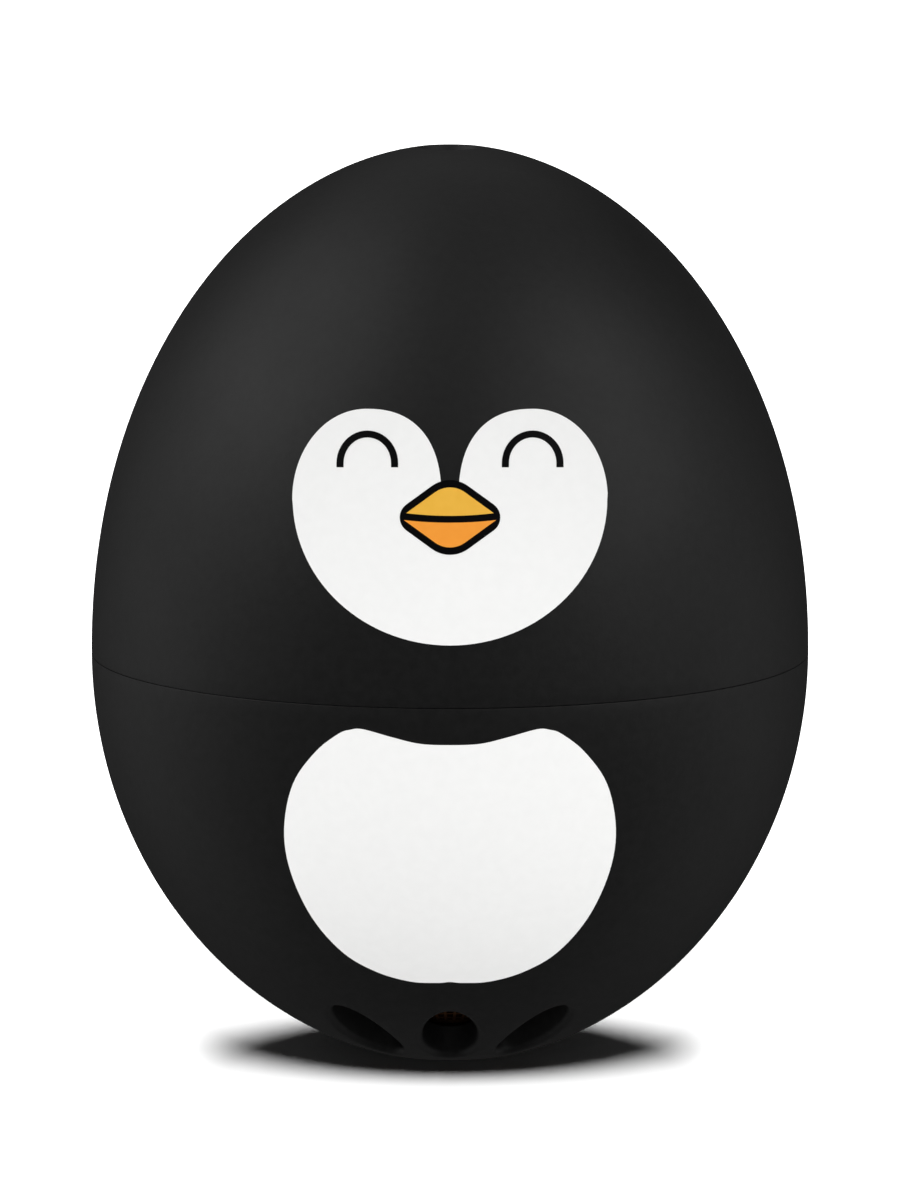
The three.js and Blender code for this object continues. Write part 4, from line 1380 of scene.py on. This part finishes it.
@dataclass(frozen=True)
class BallastStack:
    """The weight that keeps the egg upright in the water, the thread ring glued over it, and the tray."""

    weight_hole: float = 6.0
    weight_radii: Point = (15.6, 13.4)
    weight_step: float = 16.7
    lead_hole: float = 1.3
    neck: Point = (17.4, 19.2, 32.3)  # inner radius, outer radius and top
    flange: Point = (20.3, 24.2, 25.0)
    skirt: float = 19.9
    ledge: Point = (15.2, 21.0, 22.2)
    boss_turns: Point = (60.0, 180.0, 300.0)
    boss_reach: float = 15.6
    boss: Point = (1.9, 17.0)
    post_turns: Point = (0.0, 120.0, 240.0)
    post_reach: float = 14.2
    post: Point = (1.8, 30.3)
    tray_radii: Point = (3.2, 17.1)
    tray_top: float = 23.75

    def build(self) -> None:
        """Makes every piece of the stack."""
        place(
            self._weight(),
            "turned_ballast",
            Body.BASE,
            "weight_steel",
            [Finishes.BALLAST],
            ["ballast_weight"],
        )
        place(
            self._thread_ring(), "screw_neck", Body.BASE, "inner_plastic", [Finishes.INNER], ["thread_ring"]
        )
        low, high = node_box("foam_pad")
        pad = ring(3.2, high.x, low.z, high.z, 0.25)
        place(pad, "foam_ring", Body.BASE, "foam_rubber", [Finishes.FOAM], ["foam_pad"])
        place(self._tray(), "moulded_tray", Body.BASE, "inner_plastic", [Finishes.INNER], ["tray"])
        SCREW.place_ring("tray_screw", self.boss_reach, self.tray_top + SEAT, 4.4, self.boss_turns)

    def _pegs(
        self, turns: Sequence[float], reach: float, radius: float, low: float, high: float
    ) -> list[BMesh]:
        """Round pegs or drills, one at each azimuth."""
        spots = [Matrix.Translation(polar(reach, azimuth)) for azimuth in turns]
        return [moved(ring(0, radius, low, high, 0.08, 32), spot) for spot in spots]

    def _weight(self) -> BMesh:
        """A stepped steel ring with a hole for the probe's lead."""
        low, high = node_box("ballast_weight")
        wide, narrow = self.weight_radii
        section = rounded(
            [
                (self.weight_hole, low.z, 0.4),
                (wide, low.z, 0.5),
                (wide, self.weight_step, 0.5),
                (narrow, self.weight_step, 0.15),
                (narrow, high.z, 0.5),
                (self.weight_hole, high.z, 0.4),
            ],
            closed=True,
        )
        chamber = SoundChamber()
        hole = self._pegs([chamber.probe_turn], chamber.probe_reach, self.lead_hole, low.z - 1, high.z + 1)
        return carved(spun(section, closed=True), hole)

    def _thread_ring(self) -> BMesh:
        """The neck with the lower half's ridges, its flange, and three bosses under the ledge."""
        inner, outer, top = self.neck
        flange, flange_low, flange_top = self.flange
        ledge, ledge_low, ledge_top = self.ledge
        section = rounded(
            [
                (ledge, ledge_low, 0.15),
                (self.skirt, ledge_low, 0.3),
                (self.skirt, flange_low - 0.4, 0.1),
                (flange, flange_low, 0.1),
                (flange, flange_top, 0.15),
                (outer, flange_top, 0.15),
                (outer, top, 0.4),
                (inner, top, 0.2),
                (inner, ledge_top, 0.15),
                (ledge, ledge_top, 0.15),
            ],
            closed=True,
        )
        boss_radius, boss_low = self.boss
        ridges = RIDGES.build(outer, False, 0.0, 28.5)
        ringed = carved(spun(section, closed=True), [ridges], "UNION")
        bosses = self._pegs(self.boss_turns, self.boss_reach, boss_radius, boss_low, ledge_top - ROOTED)
        hole = SoundChamber().hole
        holes = self._pegs(self.boss_turns, self.boss_reach, hole, boss_low + 0.8, ledge_top + OVERRUN)
        return carved(carved(ringed, bosses, "UNION"), holes)

    def _tray(self) -> BMesh:
        """The tray over the weight, with three posts for the circuit board and a rib running inwards from the
        foot of each.
        """
        low, _ = node_box("tray")
        top = self.tray_top
        plate = ring(*self.tray_radii, low.z, top, 0.2)
        radius, post_top = self.post
        posts = self._pegs(self.post_turns, self.post_reach, radius, top - ROOTED, post_top)
        ribs = []
        for azimuth in self.post_turns:
            plan = [(10.6, -0.4), (13.0, -0.4), (13.0, 0.4), (10.6, 0.4)]
            rib = softened(slab(plan, top - ROOTED, top + 1.6), 0.12)
            ribs.append(moved(rib, spin_by(azimuth)))
        chamber = SoundChamber()
        hole = chamber.hole
        holes = [
            *self._pegs(self.post_turns, self.post_reach, hole, post_top - 4, post_top + 1),
            *self._pegs(self.boss_turns, self.boss_reach, hole + 0.1, low.z - 1, top + 1),
            *self._pegs([chamber.probe_turn], chamber.probe_reach, self.lead_hole, low.z - 1, top + 1),
        ]
        solid = carved(carved(plate, posts, "UNION"), ribs, "UNION")
        return carved(solid, holes)


@dataclass(frozen=True)
class CircuitBoard:
    """The round board, its copper, and the components soldered on it."""

    radius: float = 16.6
    screw_turns: Point = (0.0, 120.0, 240.0)
    screw_reach: float = 14.2
    reach: float = 14.1  # from the axis to the middle of each component
    gap: float = 0.05  # solder between the board and a component
    copper: float = 0.04
    pad: float = 0.85  # width of the tinned ring round a screw hole
    land: Point = (0.7, 0.5)  # half length and half width of the tinned land under a contact's foot
    land_spots: tuple[Point, ...] = ((12.0, -3.3), (12.0, 0.3), (-12.0, -3.3), (-12.0, 0.3))
    tracks: tuple[Point, ...] = (  # reach, azimuth of the start, and sweep
        (12.5, 285, 62),
        (13.2, 132, 26),
        (12.6, 172, 38),
        (13.3, 222, 34),
        (15.7, 10, 92),
    )

    @property
    def top(self) -> float:
        """Height of the board's upper face."""
        return node_box("circuit_board")[1].z

    def build(self) -> None:
        """Makes the board, its components and its screws."""
        place(
            self._board(),
            "populated_side_board",
            Body.BASE,
            "board_laminate",
            [Finishes.BOARD, Finishes.TRACK, Finishes.TIN],
            ["circuit_board"],
        )
        SCREW.place_ring("board_screw", self.screw_reach, self.top + SEAT, 3.6, self.screw_turns)
        black, tin = Finishes.EPOXY, Finishes.TIN
        self._fit(self._chip(), "melody_chip", "component_black", [black, tin], FRONT)
        self._fit(self._crystal(), "timing_crystal", "stainless_steel", [Finishes.STAINLESS, tin], 300)
        wound = [Finishes.FERRITE, Finishes.COPPER, tin]
        self._fit(self._coil(), "booster_coil", "component_black", wound, 215)
        sleeve = [Finishes.SLEEVE, Finishes.ALUMINIUM, tin]
        self._fit(self._capacitor(), "smoothing_capacitor", "component_black", sleeve, 165)
        glazed = [black, tin, Finishes.CERAMIC]
        for number, azimuth in ((1, 20), (2, 330)):
            self._fit(self._resistor(), f"resistor_{number}", "component_black", glazed, azimuth)

    def _fit(self, made: BMesh, node: str, slot: str, finishes: Sequence[Finish], azimuth: float) -> None:
        """Stands a component on the board. It is built round the origin, with X away from the axis."""
        spot = [shift_by(self.reach, 0, self.top + self.gap), spin_by(azimuth)]
        place(moved(made, *spot), f"soldered_{node}", Body.BASE, slot, finishes, [node])

    def _board(self) -> BMesh:
        """The laminate with raised tracks, and a tinned pad round each screw hole."""
        low, _ = node_box("circuit_board")
        plate = ring(0, self.radius, low.z, self.top, 0.08)
        hole = SoundChamber().hole + 0.1
        spots = [Matrix.Translation(polar(self.screw_reach, azimuth)) for azimuth in self.screw_turns]
        below, above = low.z - OVERRUN, self.top + OVERRUN
        parts = [carved(plate, [moved(ring(0, hole, below, above, 0.1, 32), spot) for spot in spots])]
        for spot in spots:
            pad = ring(hole, hole + self.pad, self.top, self.top + self.copper, 0.01, 40)
            parts.append(moved(painted(pad, 2), spot))
        for track in self.tracks:
            parts.append(painted(self._track(*track), 1))
        half_x, half_y = self.land
        for x, y in self.land_spots:
            left, right, near, far = x - half_x, x + half_x, y - half_y, y + half_y
            plan = [(left, near), (right, near), (right, far), (left, far)]
            land = softened(slab(plan, self.top, self.top + self.copper), 0.01, 1)
            parts.append(painted(land, 2))
        return joined(parts)

    def _track(self, reach: float, start: float, sweep: float) -> BMesh:
        """One curved copper track under the solder mask."""
        half = 0.22
        section = [
            (reach - half, self.top - 0.02),
            (reach + half, self.top - 0.02),
            (reach + half - 0.04, self.top + self.copper),
            (reach - half + 0.04, self.top + self.copper),
        ]
        return helical(section, sweep, 0.0, start)

    def _leg(self, y: float, out: float) -> BMesh:
        """One gull-wing leg of the chip."""
        route = [Vector((out * x, y, z)) for x, z in ((1.3, 0.75), (1.75, 0.72), (1.9, 0.2), (2.3, 0.1))]
        return tube(route, 0.13, 8)

    def _chip(self) -> BMesh:
        """The melody chip: an epoxy body with rounded edges, a pin mark and eight legs."""
        body = moved(brick(3.0, 4.4, 1.15, 0.12, 2), shift_by(0, 0, 0.72))
        mark = moved(ring(0, 0.25, 0, 0.5, 0.05, 20), shift_by(-1.0, -1.7, 1.24))
        legs = [self._leg(-1.65 + 1.1 * k, side) for k in range(4) for side in (-1, 1)]
        return joined([carved(body, [mark]), *(painted(leg, 1) for leg in legs)])

    def _crystal(self) -> BMesh:
        """The watch crystal's drawn can, lying on the board, with a crimped end and two wires."""
        crimp = [(0, -3.0), (0.85, -3.0, 0.1), (0.85, -2.7), (0.98, -2.6, 0.1)]
        section = rounded([*crimp, (0.98, 3.0, 0.35), (0, 3.0)])
        can = moved(spun(section, sides=40), spin_by(-90, "X"), shift_by(0, 0, 1.0))
        wires = []
        for x in (-0.35, 0.35):
            route = smooth([(x, -2.9, 1.0), (x, -3.5, 0.95), (1.6 * x, -3.9, 0.1)], 4)
            wires += [tube(route, 0.1, 8), bead(0.28, Vector((1.6 * x, -3.9, 0.05)), 0.6)]
        return joined([can, *(painted(w, 1) for w in wires)])

    def _coil(self) -> BMesh:
        """The booster coil: a ferrite bobbin wound with enamelled copper."""
        lower = [(0, 0.1), (2.05, 0.1, 0.1), (2.05, 0.6, 0.1), (1.3, 0.6)]
        upper = [(1.3, 2.4), (2.05, 2.4, 0.1), (2.05, 2.95, 0.12)]
        bobbin = rounded([*lower, *upper, (0.35, 2.95, 0.05), (0.35, 2.7), (0, 2.7)])
        turns, wire, foot = 7, 0.22, 0.66
        heights = [foot + wire * k for k in range(turns + 1)]
        winding = joined(ring(1.25, 1.85, low, high, 0.1, 40) for low, high in zip(heights, heights[1:]))
        ends = [bead(0.4, Vector((x, 0, 0.05)), 0.5) for x in (-1.9, 1.9)]
        return joined([spun(bobbin, sides=SMALL), painted(winding, 1), *(painted(e, 2) for e in ends)])

    def _capacitor(self) -> BMesh:
        """The smoothing capacitor: an aluminium can in a shrunk sleeve, with a crimp and a vent."""
        crimp = [(0, 0.1), (1.75, 0.1, 0.15), (1.75, 0.5, 0.1), (1.6, 0.65, 0.1), (1.75, 0.8, 0.1)]
        can = rounded([*crimp, (1.86, 4.18, 0.3), (0, 4.18)])
        outside = [(1.72, 0.25), (1.95, 0.25, 0.08), (1.82, 0.65, 0.2), (1.95, 1.0, 0.2), (1.95, 4.2, 0.25)]
        sleeve = rounded([*outside, (1.35, 4.2, 0.04), (1.35, 4.14), (1.72, 4.0)], closed=True)
        vents = [moved(brick(2.2, 0.12, 0.12, 0.02, 1), spin_by(a), shift_by(0, 0, 4.2)) for a in (0, 90)]
        cross = carved(vents[0], [vents[1]], "UNION")
        top = painted(carved(spun(can, sides=SMALL), [cross]), 1)
        return joined([top, spun(sleeve, closed=True, sides=SMALL)])

    def _resistor(self) -> BMesh:
        """A surface-mount resistor: a ceramic body, a black glaze on top and tinned ends."""
        body = painted(moved(brick(1.5, 2.6, 0.48, 0.05, 1), shift_by(0, 0, 0.27)), 2)
        glaze = moved(brick(1.3, 2.1, 0.1, 0.04, 1), shift_by(0, 0, 0.53))
        ends = [moved(brick(1.58, 0.55, 0.56, 0.1, 2), shift_by(0, y, 0.29)) for y in (-1.3, 1.3)]
        return joined([body, glaze, *(painted(e, 1) for e in ends)])


@dataclass(frozen=True)
class BatteryHolder:
    """The holder that the coin cell slides into from the rear, and its two contacts."""

    inner: float = 10.3
    wall: float = 1.2
    length: float = 8.0
    floor: float = 32.5
    pocket: Point = (16.0, 4.0, 0.6)
    strap_width: float = 5.0
    strap_y: float = -1.5
    sheet: float = 0.35

    def build(self) -> None:
        """Makes the holder and both contacts."""
        place(
            self._holder(),
            "moulded_cell_holder",
            Body.BASE,
            "inner_plastic",
            [Finishes.INNER],
            ["cell_holder"],
        )
        strap, leaf = "positive_contact", "negative_contact"
        place(self._strap(), "positive_strap", Body.BASE, "spring_steel", [Finishes.SPRING], [strap])
        place(self._leaf(), "negative_leaf", Body.BASE, "spring_steel", [Finishes.SPRING], [leaf])

    def _u_shape(self, half: float, overrun: float = 0.0) -> list[Vector]:
        """A U that opens towards the rear."""
        far = self.length + overrun
        return [Vector((half, far)), Vector((-half, far)), *arc((0, 0), (half, half), 180, 360, 60)]

    def _holder(self) -> BMesh:
        """The open tray with a pocket for the leaf and a lead-in at its mouth."""
        low, high = node_box("cell_holder")
        outer = softened(slab(self._u_shape(self.inner + self.wall), low.z, high.z), 0.25, 3)
        cavity = slab(self._u_shape(self.inner, 3.0), self.floor, high.z + 1)
        holder = carved(outer, [cavity])
        length, width, depth = self.pocket
        pocket = moved(brick(length, width, 2 * depth, 0.15, 2), shift_by(0, 0, self.floor))
        lead_ins = [
            moved(brick(1.6, 1.6, 6, 0.05, 1), spin_by(45), shift_by(x, self.length + 0.5, high.z))
            for x in (-self.inner, self.inner)
        ]
        return carved(carved(holder, [pocket]), lead_ins)

    def _strap(self) -> BMesh:
        """The sprung strap over the cell, with two slots cut along its top."""
        low, high = node_box("positive_contact")
        x, t = high.x, self.sheet
        outline = rounded(
            [
                (x, low.z),
                (x, high.z, 0.8),
                (-x, high.z, 0.8),
                (-x, low.z),
                (-x + t, low.z),
                (-x + t, high.z - t, 0.5),
                (x - t, high.z - t, 0.5),
                (x - t, low.z),
            ],
            steps=6,
            closed=True,
        )
        half = self.strap_width / 2
        strap = moved(slab(outline, -half, half), spin_by(90, "X"), shift_by(0, self.strap_y, 0))
        slots = [moved(brick(8, 0.9, 2, 0.3, 2), shift_by(0, self.strap_y + y, high.z)) for y in (-1.1, 1.1)]
        return softened(carved(strap, slots), 0.05, 1)

    def _leaf(self) -> BMesh:
        """The arched leaf under the cell, split into two fingers."""
        low, high = node_box("negative_contact")
        half, rise, t = high.x, high.z - low.z, 0.2
        steps = 16
        xs = [-half + 2 * half * k / steps for k in range(steps + 1)]
        under = [Vector((x, low.z + (rise - t) * (1 - (x / half) ** 2))) for x in xs]
        over = [p + Vector((0, t)) for p in reversed(under)]
        width = high.y - low.y
        leaf = moved(slab([*under, *over], -width / 2, width / 2), spin_by(90, "X"))
        split = moved(brick(half * 1.2, 0.5, 4, 0.1, 1), shift_by(half, 0, low.z))
        return softened(carved(leaf, [split]), 0.04, 1)


@dataclass(frozen=True)
class CoinCell:
    """The cell: a steel can, a sealing grommet and the negative cap, which faces down."""

    recess: float = 9.25
    crimp: float = 0.4

    def build(self) -> None:
        """Makes the cell's three pieces."""
        low, high = node_box("cell_can")
        radius = high.x
        section = rounded(
            [
                (0, low.z + self.crimp),
                (self.recess, low.z + self.crimp),
                (self.recess, low.z, 0.1),
                (radius, low.z, 0.35),
                (radius, high.z, 0.3),
                (radius - 0.75, high.z, 0.2),
                (radius - 0.95, high.z - 0.08, 0.2),
                (0, high.z - 0.08),
            ]
        )
        place(spun(section), "crimped_cell_can", Body.CELL, "cell_steel", [Finishes.CELL], ["cell_can"])
        low, high = node_box("cell_cap")
        cap = rounded(
            [
                (0, low.z + 0.05),
                (high.x - 1.2, low.z + 0.05, 0.2),
                (high.x - 1.0, low.z, 0.1),
                (high.x, low.z, 0.25),
                (high.x, high.z),
                (0, high.z),
            ]
        )
        place(spun(cap), "negative_cell_cap", Body.CELL, "cell_steel", [Finishes.CELL], ["cell_cap"])
        low, high = node_box("cell_grommet")
        made = ring(high.x - 0.35, high.x, low.z, high.z, 0.08)
        place(made, "sealing_grommet", Body.CELL, "component_black", [Finishes.EPOXY], ["cell_grommet"])


@dataclass(frozen=True)
class Leads:
    """The insulated leads from the sounder and the probe up to the board."""

    radius: float = 0.5
    solder: float = 0.62
    end: float = 30.25
    probe: Point = (9.526, 5.5)
    red: tuple[Point, ...] = (
        (3, 0, 11.05),
        (2.6, 0.2, 12.6),
        (1.5, 0.6, 15),
        (1.3, 0.6, 22),
        (2.2, 0.4, 26.5),
    )
    black: tuple[Point, ...] = (
        (-5.65, 0, 10.8),
        (-5.2, 0, 11.8),
        (-3, -0.2, 12.3),
        (-1.6, -0.6, 14.5),
        (-1.3, -0.6, 22),
    )

    def build(self) -> None:
        """Makes the three leads, each soldered at both ends."""
        x, y = self.probe
        thermistor = ((x, y, 8.95), (x, y, 16), (x - 0.2, y, 23), (x - 0.8, y - 0.4, self.end))
        self._lead("sounder_lead_red", "red_insulation", Finishes.RED_LEAD, (*self.red, (4, 0, self.end)))
        self._lead(
            "sounder_lead_black", "black_insulation", Finishes.BLACK_LEAD, (*self.black, (-4, 0, self.end))
        )
        self._lead("thermistor_lead", "black_insulation", Finishes.BLACK_LEAD, thermistor)

    def _lead(self, node: str, slot: str, finish: Finish, route: Sequence[Point]) -> None:
        """One lead along its route, with a drop of solder at each end."""
        line = smooth(route, 6)
        drops = [bead(self.solder, line[0] + Vector((0, 0, 0.1)), 0.5), bead(self.solder, line[-1], 0.35)]
        made = joined([tube(line, self.radius), *(painted(drop, 1) for drop in drops)])
        place(made, f"stranded_{node}", Body.BASE, slot, [finish, Finishes.TIN], [node])


# ---- studio --------------------------------------------------------------------------------------


@dataclass(frozen=True)
class Studio:
    """A pale floor, soft lamps round the egg and the camera, in metres."""

    camera: Point = (0.0, -0.4448, 0.0961)
    aim: Point = (0.0, 0.0, 0.02836)
    lens: float = 215.0
    floor_half: float = 3.0

    def build(self) -> None:
        """Makes the floor, the lamps, the surroundings and the camera."""
        floor = self._floor()
        # Broad lamps on both sides leave the egg's front darker than its shoulders. The left is the stronger.
        self._lamp("left_key", (-0.71, -0.16, 0.7), 60, 0.97, floor)
        self._lamp("left_side", (-0.92, 0.25, 0.15), 60, 0.22, floor)
        self._lamp("left_low", (-0.8, 0.2, -0.4), 60, 0.13, floor)
        self._lamp("right_key", (0.72, -0.4, 0.56), 55, 0.87, floor)
        self._lamp("right_side", (0.9, 0.2, 0.15), 60, 0.12, floor)
        self._lamp("right_low", (0.8, 0.2, -0.4), 60, 0.12, floor)
        self._lamp("top_rear", (0.0, 0.5, 0.86), 60, 0.18, floor)
        self._lamp("low_rear", (0.0, 0.35, -0.94), 70, 0.06, floor)
        # The fill is matt: it lights the prints evenly and adds no sheen.
        self._lamp("front_fill", (0.0, -0.99, -0.12), 60, 1.5, floor).visible_glossy = False
        self._lamp("floor_front", (0.0, -0.6, 0.8), 24, 4.4, floor, for_floor=True)
        self._lamp("floor_rear", (0.0, 0.72, 0.694), 24, 5.0, floor, for_floor=True)
        self._surroundings()
        self._camera()
        bpy.context.scene.view_settings.view_transform = "Standard"

    def _floor(self) -> bpy.types.Object:
        """A matt pale sheet, seen from above only."""
        bm = bmesh.new()
        bmesh.ops.create_grid(bm, x_segments=1, y_segments=1, size=self.floor_half)
        mesh = bpy.data.meshes.new("studio_floor")
        bm.to_mesh(mesh)
        bm.free()
        floor = bpy.data.objects.new("studio_floor", mesh)
        bpy.context.scene.collection.objects.link(floor)
        made = bpy.data.materials.new("matt_paper")
        made.use_nodes = True
        tree = made.node_tree
        tree.nodes.clear()
        bounced = add_node(tree, "ShaderNodeLightPath").outputs["Is Diffuse Ray"]
        tones = {"Value": bounced, "To Min": 0.95, "To Max": 0.4}
        tone = add_node(tree, "ShaderNodeMapRange", tones).outputs[0]
        paper = add_node(tree, "ShaderNodeBsdfDiffuse", {"Color": tone})
        clear = add_node(tree, "ShaderNodeBsdfTransparent")
        back = add_node(tree, "ShaderNodeNewGeometry").outputs["Backfacing"]
        mix = add_node(tree, "ShaderNodeMixShader", {0: back, 1: paper.outputs[0], 2: clear.outputs[0]})
        add_node(tree, "ShaderNodeOutputMaterial", {"Surface": mix.outputs[0]})
        mesh.materials.append(made)
        floor.visible_glossy = False
        return floor

    def _lamp(
        self, name: str, direction: Point, spread: float, strength: float, floor: bpy.types.Object,
        for_floor: bool = False
    ) -> bpy.types.Object:
        """One wide, distant lamp.

        Args:
            name: Its name.
            direction: Where it stands, as seen from the egg.
            spread: How wide it looks from the egg, in degrees.
            strength: Its light on a sheet that faces it, in W/m2.
            floor: The studio floor.
            for_floor: Whether it lights the floor alone, or the egg alone.
        Returns:
            The lamp.
        """
        lamp = bpy.data.lights.new(name, "SUN")
        lamp.angle = math.radians(spread)
        lamp.energy = strength
        holder = bpy.data.objects.new(name, lamp)
        holder.rotation_euler = Vector(direction).to_track_quat("Z", "Y").to_euler()
        bpy.context.scene.collection.objects.link(holder)
        lit = bpy.data.collections.new(f"{name}_lights")
        lit.objects.link(floor)
        holder.light_linking.receiver_collection = lit
        lit.collection_objects[0].light_linking.link_state = "INCLUDE" if for_floor else "EXCLUDE"
        if not for_floor:
            holder.light_linking.blocker_collection = lit
        return holder

    def _surroundings(self) -> None:
        """A pale room that is dim as a lamp."""
        world = bpy.data.worlds.new("studio")
        bpy.context.scene.world = world
        world.use_nodes = True
        tree = world.node_tree
        tree.nodes.clear()
        seen = add_node(tree, "ShaderNodeLightPath").outputs["Is Camera Ray"]
        strengths = {"Value": seen, "To Min": 0.03, "To Max": 1.0}
        strength = add_node(tree, "ShaderNodeMapRange", strengths).outputs[0]
        inputs = {"Color": linear("#f4f4f4"), "Strength": strength}
        room = add_node(tree, "ShaderNodeBackground", inputs)
        add_node(tree, "ShaderNodeOutputWorld", {"Surface": room.outputs[0]})

    def _camera(self) -> None:
        """A long lens just above the egg's middle, looking slightly down."""
        lens = bpy.data.cameras.new("camera")
        lens.lens = self.lens
        lens.sensor_width = 36.0
        lens.clip_start = 0.01
        camera = bpy.data.objects.new("camera", lens)
        camera.location = self.camera
        camera.rotation_euler = (Vector(self.camera) - Vector(self.aim)).to_track_quat("Z", "Y").to_euler()
        bpy.context.scene.collection.objects.link(camera)
        bpy.context.scene.camera = camera


def main() -> None:
    """Builds the timer piece by piece, then the studio."""
    logging.basicConfig(level=logging.INFO, format="%(name)s: %(message)s")
    for assembly in (
        UpperShell(),
        LowerShell(),
        SoundChamber(),
        BallastStack(),
        CircuitBoard(),
        BatteryHolder(),
        CoinCell(),
        Leads(),
        Studio(),
    ):
        log.info("building %s", type(assembly).__name__)
        assembly.build()


if __name__ == "__main__":
    main()
